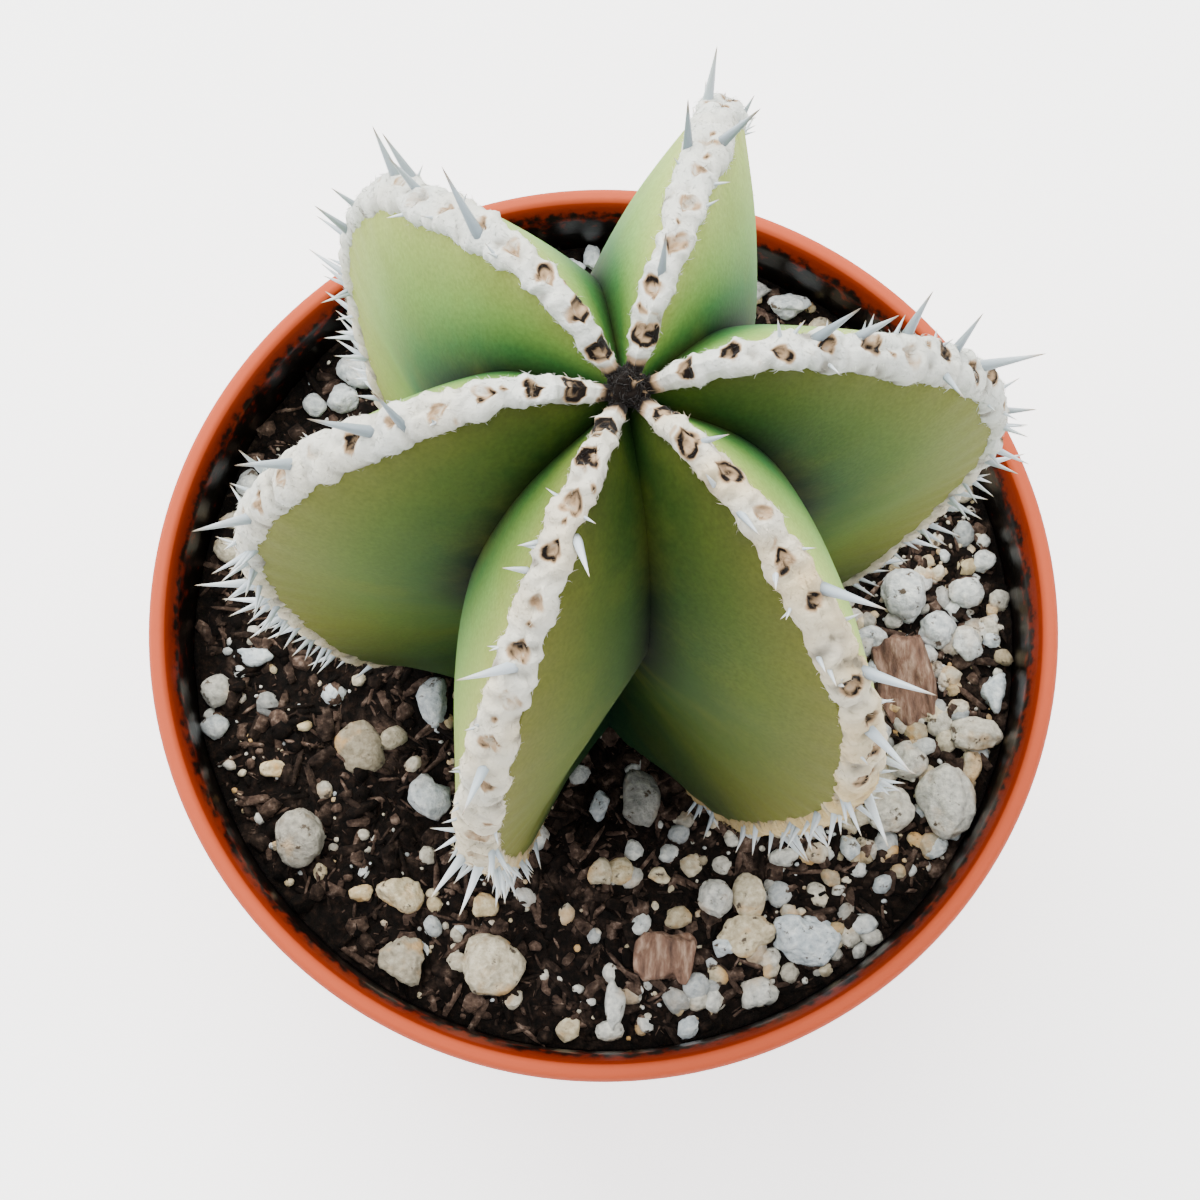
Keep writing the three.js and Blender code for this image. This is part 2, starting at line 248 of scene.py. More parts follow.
@dataclass(frozen=True)
class Finish:
    """Base of the finishes: a new material with its surface shader and a few shared patterns."""

    name: str

    def start(self) -> tuple[bpy.types.Material, bpy.types.NodeTree, bpy.types.Node]:
        """Makes an empty material.

        Returns:
            The material, its tree and its surface shader.
        """
        material = bpy.data.materials.new(self.name)
        material.use_nodes = True
        tree = material.node_tree
        return material, tree, tree.nodes["Principled BSDF"]

    @staticmethod
    def place(tree: bpy.types.NodeTree) -> bpy.types.NodeSocket:
        """The object's own coordinates, in metres.

        Args:
            tree: The material's tree.

        Returns:
            The vector socket.
        """
        return add_node(tree, "ShaderNodeTexCoord").outputs["Object"]

    @staticmethod
    def attribute(tree: bpy.types.NodeTree, name: str) -> bpy.types.NodeSocket:
        """A value stored on the mesh.

        Args:
            tree: The material's tree.
            name: The attribute's name.

        Returns:
            The value socket.
        """
        return add_node(tree, "ShaderNodeAttribute", attribute_name=name).outputs["Fac"]

    @staticmethod
    def noise(
        tree: bpy.types.NodeTree, place: bpy.types.NodeSocket, size: float, detail: float = 4.0
    ) -> bpy.types.NodeSocket:
        """Noise whose blotches are about size metres across.

        Args:
            tree: The material's tree.
            place: The coordinates.
            size: Size of a blotch.
            detail: Layers of finer noise.

        Returns:
            The value socket.
        """
        inputs = {"Vector": place, "Scale": 1 / size, "Detail": detail, "Roughness": 0.6}
        return add_node(tree, "ShaderNodeTexNoise", inputs).outputs["Fac"]

    @staticmethod
    def ramp(
        tree: bpy.types.NodeTree, value: bpy.types.NodeSocket, stops: Sequence[tuple[float, str]]
    ) -> bpy.types.NodeSocket:
        """A colour ramp.

        Args:
            tree: The material's tree.
            value: What drives it.
            stops: Position and sRGB hex colour of each stop.

        Returns:
            The colour socket.
        """
        made = add_node(tree, "ShaderNodeValToRGB", {"Fac": value})
        elements = made.color_ramp.elements
        while len(elements) < len(stops):
            elements.new(0.5)
        for element, (position, code) in zip(elements, stops):
            element.position = position
            element.color = linear(code)
        return made.outputs["Color"]

    @staticmethod
    def mix(
        tree: bpy.types.NodeTree,
        share: bpy.types.NodeSocket | float,
        first: bpy.types.NodeSocket | tuple,
        second: bpy.types.NodeSocket | tuple,
        blend: str = "MIX",
    ) -> bpy.types.NodeSocket:
        """Mixes two colours.

        Args:
            tree: The material's tree.
            share: How much of the second.
            first: A colour or the socket of one.
            second: A colour or the socket of one.
            blend: The blend mode.

        Returns:
            The colour socket.
        """
        inputs = {0: share, 6: first, 7: second}
        made = add_node(tree, "ShaderNodeMix", data_type="RGBA", blend_type=blend)
        for index, value in inputs.items():
            if isinstance(value, bpy.types.NodeSocket):
                tree.links.new(value, made.inputs[index])
            else:
                made.inputs[index].default_value = value
        return made.outputs[2]

    @staticmethod
    def window(
        tree: bpy.types.NodeTree, value: bpy.types.NodeSocket, low: float, high: float
    ) -> bpy.types.NodeSocket:
        """Maps low to high onto 0 to 1, clamped and smoothed.

        Args:
            tree: The material's tree.
            value: The value.
            low: What becomes 0.
            high: What becomes 1.

        Returns:
            The value socket.
        """
        inputs = {"Value": value, "From Min": low, "From Max": high}
        made = add_node(tree, "ShaderNodeMapRange", inputs, interpolation_type="SMOOTHSTEP")
        return made.outputs["Result"]

    @staticmethod
    def relief(
        tree: bpy.types.NodeTree, shader: bpy.types.Node, height: bpy.types.NodeSocket, depth: float
    ) -> None:
        """Adds fine bump to a surface.

        Args:
            tree: The material's tree.
            shader: The surface shader.
            height: Height from 0 to 1.
            depth: What 1 stands for, in metres.
        """
        bump = add_node(tree, "ShaderNodeBump", {"Height": height, "Distance": depth, "Strength": 1.0})
        tree.links.new(bump.outputs["Normal"], shader.inputs["Normal"])


@dataclass(frozen=True)
class MouldedPlastic(Finish):
    """Terracotta-coloured polypropylene: matt outside and shiny inside the rim, where the inner wall is painted
    darker as shade and carries near-black specks that are partly soil stain and partly painted shade.

    Reads the mesh's "inside" value: 0 on the outside and the rim's top, 1 down the inner wall.
    """

    outer: str = "a34222"
    # Painted shade: the colour the inner wall darkens to below the rim's bevel.
    shaded: str = "6e1c04"
    # Near-black of the inner wall's specks: partly soil stain, partly painted shade.
    stain: str = "070403"

    def material(self) -> bpy.types.Material:
        """Builds the material.

        Returns:
            The material.
        """
        material, tree, shader = self.start()
        place = self.place(tree)
        inside = self.attribute(tree, "inside")
        cloud = self.noise(tree, place, 18 * MM, 3)
        plain = self.mix(tree, cloud, linear(self.outer), linear("ad4726"))
        # Painted shade: the inner wall darkens from the rim's bevel downwards.
        painted_shade_inside = self.mix(tree, self.window(tree, inside, 0.05, 0.4), plain, linear(self.shaded))
        # Specks that grow denser down the inner wall: partly soil stain, partly painted shade.
        specks = self.noise(tree, place, 1.3 * MM, 6)
        reach = add_node(tree, "ShaderNodeMath", {0: specks, 1: inside}, operation="MULTIPLY")
        soil_stain_and_painted_shade = self.window(tree, reach.outputs[0], 0.2, 0.34)
        colour = self.mix(tree, soil_stain_and_painted_shade, painted_shade_inside, linear(self.stain))
        tree.links.new(colour, shader.inputs["Base Color"])
        inner = self.window(tree, inside, 0.05, 0.3)
        gloss = add_node(tree, "ShaderNodeMapRange", {"Value": inner, "To Min": 0.75, "To Max": 0.3})
        tree.links.new(gloss.outputs["Result"], shader.inputs["Roughness"])
        shader.inputs["Specular IOR Level"].default_value = 0.25
        self.relief(tree, shader, self.noise(tree, place, 0.9 * MM, 5), 0.03 * MM)
        return material


@dataclass(frozen=True)
class CactusSkin(Finish):
    """The waxy green skin, with light and shade painted into its colour: lit and shaded copies of one green for the
    flanks, painted shade deepening into each groove, and painted shade towards the crown.

    Reads "depth" (0 at a crest, 1 in a groove), "down" (0 at the crown, 1 at the foot),
    "sun" (how much a flank is painted as lit, 0 where it is painted as in shade) and "across" (place round the stem,
    for the streaks).
    """

    def material(self) -> bpy.types.Material:
        """Builds the material.

        Returns:
            The material.
        """
        material, tree, shader = self.start()
        place = self.place(tree)
        depth = self.attribute(tree, "depth")
        sun = self.attribute(tree, "sun")
        down = self.attribute(tree, "down")
        # Painted light and shade: one green in a shaded copy for the flanks facing the viewer and a lit copy for the
        # flanks facing the lights; both darken to near-black towards the groove as painted shade in the crease.
        shaded = self.ramp(
            tree,
            depth,
            [(0.0, "7a783a"), (0.15, "6a6d31"), (0.45, "536427"), (0.78, "385321"), (1.0, "051002")],
        )
        painted_lit_flank = self.ramp(
            tree,
            depth,
            [(0.0, "c6d070"), (0.2, "afca64"), (0.5, "88b657"), (0.78, "3d7a3c"), (1.0, "082010")],
        )
        colour = self.mix(tree, sun, shaded, painted_lit_flank)
        # Painted shade: the skin darkens towards the crown, most on the flanks painted as unlit.
        crown = self.window(tree, down, 0.42, 0.08)
        unlit_share = add_node(tree, "ShaderNodeMapRange", {"Value": sun, "To Min": 0.75, "To Max": 0.1})
        near_crown = add_node(tree, "ShaderNodeMath", {0: crown, 1: unlit_share.outputs["Result"]}, operation="MULTIPLY")
        colour = self.mix(tree, near_crown.outputs[0], colour, linear("15300a"))
        foot = self.window(tree, down, 0.7, 0.95)
        colour = self.mix(tree, self.scaled(tree, foot, 0.55), colour, linear("2b5d45"))
        blotch = self.window(tree, self.noise(tree, place, 9 * MM, 3), 0.4, 0.75)
        colour = self.mix(tree, self.scaled(tree, blotch, 0.25), colour, linear("6f7424"))
        colour = self.mix(tree, 0.03, colour, self.streaks(tree), "OVERLAY")
        grain = self.noise(tree, place, 0.4 * MM, 2)
        speckle = self.ramp(tree, grain, [(0.3, "686868"), (0.7, "989898")])
        colour = self.mix(tree, 0.5, colour, speckle, "OVERLAY")
        tree.links.new(colour, shader.inputs["Base Color"])
        shader.inputs["Roughness"].default_value = 0.7
        shader.inputs["Subsurface Weight"].default_value = 0.08
        shader.inputs["Subsurface Radius"].default_value = (0.4, 0.9, 0.2)
        shader.inputs["Subsurface Scale"].default_value = 1.2 * MM
        shader.inputs["Specular IOR Level"].default_value = 0.08
        self.relief(tree, shader, grain, 0.02 * MM)
        return material

    @staticmethod
    def scaled(tree: bpy.types.NodeTree, value: bpy.types.NodeSocket, by: float) -> bpy.types.NodeSocket:
        """Multiplies a value.

        Args:
            tree: The material's tree.
            value: The value.
            by: The factor.

        Returns:
            The product's socket.
        """
        return add_node(tree, "ShaderNodeMath", {0: value, 1: by}, operation="MULTIPLY").outputs[0]

    def streaks(self, tree: bpy.types.NodeTree) -> bpy.types.NodeSocket:
        """Faint streaks that run from crest to groove.

        Args:
            tree: The material's tree.

        Returns:
            The colour socket, grey where there is no streak.
        """
        lanes = add_node(
            tree,
            "ShaderNodeCombineXYZ",
            {"X": self.scaled(tree, self.attribute(tree, "down"), 90.0), "Y": self.attribute(tree, "across")},
        )
        inputs = {"Vector": lanes.outputs["Vector"], "Scale": 1.0, "Detail": 3.0}
        wave = add_node(tree, "ShaderNodeTexNoise", inputs).outputs["Fac"]
        return self.ramp(tree, wave, [(0.3, "6a6a6a"), (0.7, "969696")])


@dataclass(frozen=True)
class FeltedWool(Finish):
    """Areole wool: white felt that yellows with age and is brown round the spines.

    Reads "stain" (brown, 0 to 1), "aged" (cream, 0 to 1) and "hollow" (shadow between tufts, 0 to 1).
    """

    def material(self) -> bpy.types.Material:
        """Builds the material.

        Returns:
            The material.
        """
        material, tree, shader = self.start()
        place = self.place(tree)
        aged = self.attribute(tree, "aged")
        stain = self.attribute(tree, "stain")
        cloud = self.noise(tree, place, 1.6 * MM, 4)
        fresh = self.mix(tree, cloud, linear("b0b4b0"), linear("dddfd6"))
        old = self.mix(tree, cloud, linear("a5854f"), linear("dcc794"))
        colour = self.mix(tree, aged, fresh, old)
        hollow = self.attribute(tree, "hollow")
        colour = self.mix(tree, hollow, colour, linear("6d675b"))
        tan = self.window(tree, stain, 0.08, 0.5)
        colour = self.mix(tree, tan, colour, linear("9c8264"))
        dark = self.window(tree, stain, 0.4, 0.9)
        colour = self.mix(tree, dark, colour, linear("0d0704"))
        tree.links.new(colour, shader.inputs["Base Color"])
        shader.inputs["Roughness"].default_value = 0.9
        shader.inputs["Sheen Weight"].default_value = 0.08
        shader.inputs["Sheen Roughness"].default_value = 0.5
        shader.inputs["Specular IOR Level"].default_value = 0.08
        self.relief(tree, shader, self.noise(tree, place, 0.28 * MM, 4), 0.12 * MM)
        return material


@dataclass(frozen=True)
class SpineHorn(Finish):
    """Horn of the spines: blue-grey to white, brown at the tip and at the base.

    Reads "along" (0 at the base, 1 at the tip) and "shade" (0 grey, 1 white).
    """

    def material(self) -> bpy.types.Material:
        """Builds the material.

        Returns:
            The material.
        """
        material, tree, shader = self.start()
        along = self.attribute(tree, "along")
        shade = self.attribute(tree, "shade")
        grey = self.ramp(
            tree,
            along,
            [(0.0, "53585b"), (0.2, "6f7d85"), (0.7, "87949b"), (0.88, "7d6f5e"), (1.0, "3f2c1b")],
        )
        white = self.ramp(
            tree,
            along,
            [(0.0, "8b8f8f"), (0.2, "b5c0c8"), (0.8, "cfd6d9"), (0.95, "bfb29b"), (1.0, "8a6b47")],
        )
        colour = self.mix(tree, shade, grey, white)
        tree.links.new(colour, shader.inputs["Base Color"])
        shader.inputs["Roughness"].default_value = 0.42
        self.relief(tree, shader, self.noise(tree, self.place(tree), 0.3 * MM, 3), 0.02 * MM)
        return material


@dataclass(frozen=True)
class Peat(Finish):
    """Dark peat and composted bark, fibrous and damp. Reads "shade" (0 dark, 1 light) on loose bits."""

    def material(self) -> bpy.types.Material:
        """Builds the material.

        Returns:
            The material.
        """
        material, tree, shader = self.start()
        place = self.place(tree)
        fine = self.noise(tree, place, 0.9 * MM, 6)
        coarse = self.noise(tree, place, 7 * MM, 4)
        dark = self.ramp(tree, fine, [(0.35, "030201"), (0.55, "0e0805"), (0.75, "241811")])
        light = self.ramp(tree, fine, [(0.3, "1f1511"), (0.55, "544339"), (0.75, "907c6e")])
        colour = self.mix(tree, self.window(tree, coarse, 0.55, 0.85), dark, light)
        colour = self.mix(tree, self.window(tree, self.attribute(tree, "shade"), 0.3, 1.05), colour, light)
        tree.links.new(colour, shader.inputs["Base Color"])
        shader.inputs["Roughness"].default_value = 0.95
        shader.inputs["Specular IOR Level"].default_value = 0.12
        self.relief(tree, shader, fine, 0.5 * MM)
        return material


@dataclass(frozen=True)
class Mineral(Finish):
    """Pumice, perlite and gravel. Reads "warm" (0 blue-grey, 1 cream to tan) and "shade" (0 dark, 1 pale)."""

    def material(self) -> bpy.types.Material:
        """Builds the material.

        Returns:
            The material.
        """
        material, tree, shader = self.start()
        place = self.place(tree)
        warm = self.attribute(tree, "warm")
        shade = self.attribute(tree, "shade")
        grain = self.noise(tree, place, 0.8 * MM, 6)
        cool = self.ramp(tree, grain, [(0.3, "929ca1"), (0.5, "b7bfc2"), (0.7, "dadedb")])
        cream = self.ramp(tree, grain, [(0.3, "94815a"), (0.5, "b8a67f"), (0.7, "d6c9a6")])
        colour = self.mix(tree, warm, cool, cream)
        colour = self.mix(tree, self.window(tree, shade, 0.75, -0.6), colour, linear("5b5246"), "MULTIPLY")
        rust = self.window(tree, self.noise(tree, place, 4.5 * MM, 3), 0.5, 0.68)
        rust = add_node(tree, "ShaderNodeMath", {0: rust, 1: warm}, operation="MULTIPLY").outputs[0]
        colour = self.mix(tree, rust, colour, linear("b98f55"))
        pits = self.window(tree, self.noise(tree, place, 1.4 * MM, 5), 0.4, 0.32)
        colour = self.mix(tree, pits, colour, linear("4b4034"))
        tree.links.new(colour, shader.inputs["Base Color"])
        shader.inputs["Roughness"].default_value = 0.9
        self.relief(tree, shader, grain, 0.45 * MM)
        return material


@dataclass(frozen=True)
class BarkFinish(Finish):
    """Reddish-brown pine bark with its grain along Y."""

    def material(self) -> bpy.types.Material:
        """Builds the material.

        Returns:
            The material.
        """
        material, tree, shader = self.start()
        place = self.place(tree)
        drawn = add_node(tree, "ShaderNodeMapping", {"Vector": place, "Scale": (1.0, 0.25, 1.0)})
        grain = self.noise(tree, drawn.outputs["Vector"], 0.8 * MM, 6)
        colour = self.ramp(tree, grain, [(0.3, "3b251b"), (0.5, "6e5140"), (0.72, "a08672")])
        tree.links.new(colour, shader.inputs["Base Color"])
        shader.inputs["Roughness"].default_value = 0.85
        self.relief(tree, shader, grain, 0.4 * MM)
        return material


@dataclass(frozen=True)
class StudioPaper(Finish):
    """White studio paper, very slightly glowing, that the pot stands on."""

    def material(self) -> bpy.types.Material:
        """Builds the material.

        Returns:
            The material.
        """
        material, tree, shader = self.start()
        cloud = self.noise(tree, self.place(tree), 0.4, 2)
        colour = self.mix(tree, cloud, linear("f7f7f6"), linear("fafaf9"))
        tree.links.new(colour, shader.inputs["Base Color"])
        shader.inputs["Roughness"].default_value = 0.9
        shader.inputs["Emission Color"].default_value = linear("ffffff")
        shader.inputs["Emission Strength"].default_value = 1.3
        return material


# ------------------------------------------------------------------------------- scattering


class Bits(Enum):
    """Kinds of loose bits that are scattered over a surface."""

    FIBRE = "wool_fibre"
    PEAT = "peat_crumb"
    PERLITE = "perlite_grain"


@dataclass(frozen=True)
class Scatter:
    """Spreads copies of a few small shapes over a mesh with Geometry Nodes, then bakes them.

    The mesh's "spread" value thins the copies out. Each copy carries a random "shade" and "warm".
    """

    kind: Bits
    per_square_mm: float
    smallest: float
    largest: float
    bias: float
    lean: tuple[float, float]
    seed: int

    def tree(self) -> bpy.types.NodeTree:
        """Builds the node tree with named inputs.

        Returns:
            The geometry tree.
        """
        tree = bpy.data.node_groups.new("scatter_" + self.kind.value, "GeometryNodeTree")
        sides = tree.interface
        sides.new_socket("Surface", in_out="INPUT", socket_type="NodeSocketGeometry")
        sides.new_socket("Shapes", in_out="INPUT", socket_type="NodeSocketCollection")
        for label in ("Density", "Smallest", "Largest", "Bias", "Least lean", "Most lean"):
            sides.new_socket(label, in_out="INPUT", socket_type="NodeSocketFloat")
        sides.new_socket("Seed", in_out="INPUT", socket_type="NodeSocketInt")
        sides.new_socket("Finish", in_out="INPUT", socket_type="NodeSocketMaterial")
        sides.new_socket("Bits", in_out="OUTPUT", socket_type="NodeSocketGeometry")
        entry = add_node(tree, "NodeGroupInput").outputs
        spread = add_node(tree, "GeometryNodeInputNamedAttribute", {"Name": "spread"}, data_type="FLOAT")
        density = add_node(
            tree,
            "ShaderNodeMath",
            {0: spread.outputs["Attribute"], 1: entry["Density"]},
            operation="MULTIPLY",
        )
        points = add_node(
            tree,
            "GeometryNodeDistributePointsOnFaces",
            {"Mesh": entry["Surface"], "Density": density.outputs[0], "Seed": entry["Seed"]},
        )
        shapes = add_node(
            tree,
            "GeometryNodeCollectionInfo",
            {"Collection": entry["Shapes"], "Separate Children": True, "Reset Children": True},
        )
        turn = add_node(
            tree, "FunctionNodeEulerToRotation", {"Euler": self.random_turn(tree, entry)}
        )
        facing = add_node(
            tree,
            "FunctionNodeRotateRotation",
            {"Rotation": points.outputs["Rotation"], "Rotate By": turn.outputs["Rotation"]},
            rotation_space="LOCAL",
        )
        copies = add_node(
            tree,
            "GeometryNodeInstanceOnPoints",
            {
                "Points": points.outputs["Points"],
                "Instance": shapes.outputs["Instances"],
                "Pick Instance": True,
                "Rotation": facing.outputs["Rotation"],
                "Scale": self.random_size(tree, entry),
            },
        ).outputs["Instances"]
        for offset, label in ((7, "shade"), (8, "warm")):
            copies = add_node(
                tree,
                "GeometryNodeStoreNamedAttribute",
                {"Geometry": copies, "Name": label, "Value": self.random_share(tree, offset)},
                data_type="FLOAT",
                domain="INSTANCE",
            ).outputs["Geometry"]
        real = add_node(tree, "GeometryNodeRealizeInstances", {"Geometry": copies})
        finished = add_node(
            tree,
            "GeometryNodeSetMaterial",
            {"Geometry": real.outputs["Geometry"], "Material": entry["Finish"]},
        )
        add_node(tree, "NodeGroupOutput", {"Bits": finished.outputs["Geometry"]})
        return tree

    def random_share(self, tree: bpy.types.NodeTree, offset: int) -> bpy.types.NodeSocket:
        """A random number from 0 to 1 for each copy.

        Args:
            tree: The tree.
            offset: Keeps this number apart from the others.

        Returns:
            The value socket.
        """
        made = add_node(tree, "FunctionNodeRandomValue", data_type="FLOAT")
        made.inputs[2].default_value = 0.0
        made.inputs[3].default_value = 1.0
        made.inputs[8].default_value = self.seed * 11 + offset
        return made.outputs[1]

    def random_turn(self, tree: bpy.types.NodeTree, entry: bpy.types.bpy_prop_collection) -> bpy.types.NodeSocket:
        """A random turn about the normal, after a random lean away from it.

        Args:
            tree: The tree.
            entry: The group's inputs.

        Returns:
            The Euler vector socket.
        """
        lean = add_node(
            tree,
            "ShaderNodeMapRange",
            {
                "Value": self.random_share(tree, 1),
                "To Min": entry["Least lean"],
                "To Max": entry["Most lean"],
            },
        )
        spin = add_node(
            tree, "ShaderNodeMath", {0: self.random_share(tree, 2), 1: math.tau}, operation="MULTIPLY"
        )
        return add_node(
            tree, "ShaderNodeCombineXYZ", {"X": lean.outputs["Result"], "Z": spin.outputs[0]}
        ).outputs["Vector"]

    def random_size(self, tree: bpy.types.NodeTree, entry: bpy.types.bpy_prop_collection) -> bpy.types.NodeSocket:
        """A random size, with more small copies than large ones when the bias is over 1.

        Args:
            tree: The tree.
            entry: The group's inputs.

        Returns:
            The scale socket.
        """
        share = add_node(
            tree, "ShaderNodeMath", {0: self.random_share(tree, 3), 1: entry["Bias"]}, operation="POWER"
        )
        size = add_node(
            tree,
            "ShaderNodeMapRange",
            {"Value": share.outputs[0], "To Min": entry["Smallest"], "To Max": entry["Largest"]},
        )
        return size.outputs["Result"]

    def over(
        self, surface: bpy.types.Object, shapes: list[bpy.types.Object], material: bpy.types.Material
    ) -> bpy.types.Object:
        """Scatters the shapes over a surface.

        Args:
            surface: A mesh object with a "spread" value.
            shapes: The shapes, one unit across; they are removed afterwards.
            material: The copies' material.

        Returns:
            A plain mesh object of all the copies.
        """
        store = bpy.data.collections.new(self.kind.value)
        for shape in shapes:
            for home in list(shape.users_collection):
                home.objects.unlink(shape)
            store.objects.link(shape)
        holder = bpy.data.objects.new("holder", surface.data.copy())
        bpy.context.scene.collection.objects.link(holder)
        tree = self.tree()
        modifier = holder.modifiers.new("scatter", "NODES")
        modifier.node_group = tree
        values = {
            "Shapes": store,
            "Density": self.per_square_mm / MM**2,
            "Smallest": self.smallest * MM,
            "Largest": self.largest * MM,
            "Bias": self.bias,
            "Least lean": math.radians(self.lean[0]),
            "Most lean": math.radians(self.lean[1]),
            "Seed": self.seed,
            "Finish": material,
        }
        for item in tree.interface.items_tree:
            if item.in_out == "INPUT" and item.name in values:
                modifier[item.identifier] = values[item.name]
        graph = bpy.context.evaluated_depsgraph_get()
        mesh = bpy.data.meshes.new_from_object(holder.evaluated_get(graph))
        bpy.data.objects.remove(holder)
        for shape in shapes:
            bpy.data.objects.remove(shape)
        bpy.data.collections.remove(store)
        mesh.shade_smooth()
        piece = bpy.data.objects.new(self.kind.value, mesh)
        bpy.context.scene.collection.objects.link(piece)
        return piece


# ------------------------------------------------------------------------------- the rib system


@dataclass(frozen=True)
class Profile:
    """A smooth line through [radius, height] points, as the CAD's centripetal spline runs."""

    points: tuple[tuple[float, float], ...]

    def at(self, share: np.ndarray) -> np.ndarray:
        """Reads the line.

        Args:
            share: Places from 0 to 1, each span between two points having an equal share.

        Returns:
            One row of radius and height for each place.
        """
        knots = np.array(self.points, dtype=float)
        knots = np.vstack([2 * knots[0] - knots[1], knots, 2 * knots[-1] - knots[-2]])
        spans = len(self.points) - 1
        scaled = np.clip(np.asarray(share, dtype=float), 0, 1) * spans
        index = np.minimum(scaled.astype(int), spans - 1)
        t = (scaled - index)[:, None]
        p0, p1, p2, p3 = (knots[index + k] for k in range(4))
        steps = ((p0, p1), (p1, p2), (p2, p3))
        d0, d1, d2 = (np.sqrt(np.linalg.norm(b - a, axis=1))[:, None] for a, b in steps)
        slope1 = ((p1 - p0) / d0 - (p2 - p0) / (d0 + d1) + (p2 - p1) / d1) * d1
        slope2 = ((p2 - p1) / d1 - (p3 - p1) / (d1 + d2) + (p3 - p2) / d2) * d1
        square = -3 * p1 + 3 * p2 - 2 * slope1 - slope2
        cube = 2 * p1 - 2 * p2 + slope1 + slope2
        return p1 + slope1 * t + square * t**2 + cube * t**3


@dataclass(frozen=True)
class Spine:
    """One spine: place down the crest, millimetres to the side of it, length and tilts in degrees."""

    at: float
    aside: float
    length: float
    along: float
    side: float
    white: float = 0.3


@dataclass(frozen=True)
class Rib:
    """One rib of the stem.

    azimuth, reach and curl are the CAD's. sun_after and sun_before say how much its clockwise and
    anticlockwise flanks are painted as lit rather than shaded, aged how cream its old wool is, and spines are its
    long spines.
    """

    azimuth: float
    reach: float
    curl: float
    sun_after: float
    sun_before: float
    aged: float
    spines: tuple[Spine, ...] = ()


RIBS = (
    Rib(135, 0.97, 5.5, 0.95, 0.62, 0.1, (
        Spine(0.35, -0.8, 5.8, -17, 4), Spine(0.38, -0.6, 5.8, -28, -3), Spine(0.33, -0.1, 4.6, -10, 9),
        Spine(0.23, 0.4, 6.5, 25, -6, 0.1), Spine(0.43, 0.3, 3.7, -40, 20), Spine(0.48, 0.5, 5.0, -48, 19),
        Spine(0.58, 0.5, 4.4, -10, 14, 0.7), Spine(0.73, -0.2, 5.3, 0, -2, 0.8),
    )),
    Rib(73, 1.02, 0.5, 0.8, 0.85, 0.05, (
        Spine(0.38, 0.7, 6.0, -31, 4, 0.6), Spine(0.55, 0.8, 8.0, 9, -1, 0.5), Spine(0.28, 0.7, 5.1, -7, 12, 0.0),
        Spine(0.12, 0.0, 4.4, 28, 4, 0.1), Spine(0.4, -0.9, 2.6, -40, -11), Spine(0.3, -0.2, 6.4, -25, -22, 0.1),
    )),
    Rib(9, 1.03, -2, 0.14, 0.95, 0.1, (
        Spine(0.2, 0.4, 5.5, 12, 3, 0.1), Spine(0.25, 0.7, 4.7, 6, -1, 0.4), Spine(0.3, 1.0, 5.2, -19, 22, 0.2),
        Spine(0.33, -0.1, 4.4, -29, -49, 0.3), Spine(0.35, 0.5, 4.7, -26, 17), Spine(0.38, 0.2, 6.5, -16, -11, 0.4),
        Spine(0.48, 0.1, 4.8, -44, -18), Spine(0.58, -0.5, 4.4, -5, 3, 0.9),
    )),
    Rib(-52, 1.03, -6, 0.0, 0.95, 0.9, (
        Spine(0.1, 0.1, 2.8, 44, 25, 0.4), Spine(0.18, -0.4, 3.5, 35, -9, 0.6), Spine(0.25, -0.3, 2.4, 11, -36, 0.9),
        Spine(0.28, 0.6, 6.5, 16, 17, 0.4), Spine(0.33, -0.5, 2.1, 8, -20, 0.9), Spine(0.35, 0.4, 6.5, 11, 22, 0.5),
        Spine(0.4, 0.0, 6.5, -8, -2, 0.5), Spine(0.48, 1.3, 4.7, -35, 7, 0.6), Spine(0.53, 0.4, 6.5, -27, -21, 0.8),
    )),
    Rib(-110, 1.02, 4, 0.5, 0.0, 0.5, (
        Spine(0.18, 0.9, 4.5, 32, 26, 0.9), Spine(0.2, -1.5, 1.9, 16, -29, 1.0), Spine(0.23, -1.3, 2.6, -3, -34, 1.0),
        Spine(0.3, 0.1, 6.5, 3, -31, 0.8), Spine(0.38, 0.0, 6.1, -4, -1, 0.4), Spine(0.55, -0.2, 6.0, -30, -13, 0.9),
        Spine(0.55, 0.1, 6.0, -22, 4, 0.9), Spine(0.58, 0.2, 3.6, -35, 30, 1.0),
    )),
    Rib(-169, 0.97, 1.5, 0.8, 0.08, 0.2, (
        Spine(0.25, 0.4, 4.8, -4, -22, 0.0), Spine(0.28, 0.0, 6.5, 11, -3, 0.2), Spine(0.35, -0.1, 6.5, -5, 4, 0.3),
        Spine(0.4, -1.0, 3.7, -38, -20), Spine(0.43, 0.1, 6.5, -23, 13, 0.5), Spine(0.5, -0.2, 3.1, -40, 27, 0.7),
        Spine(0.6, 0.3, 6.0, -30, 2, 0.9), Spine(0.65, 0.9, 5.1, 0, -16, 1.0),
    )),
)


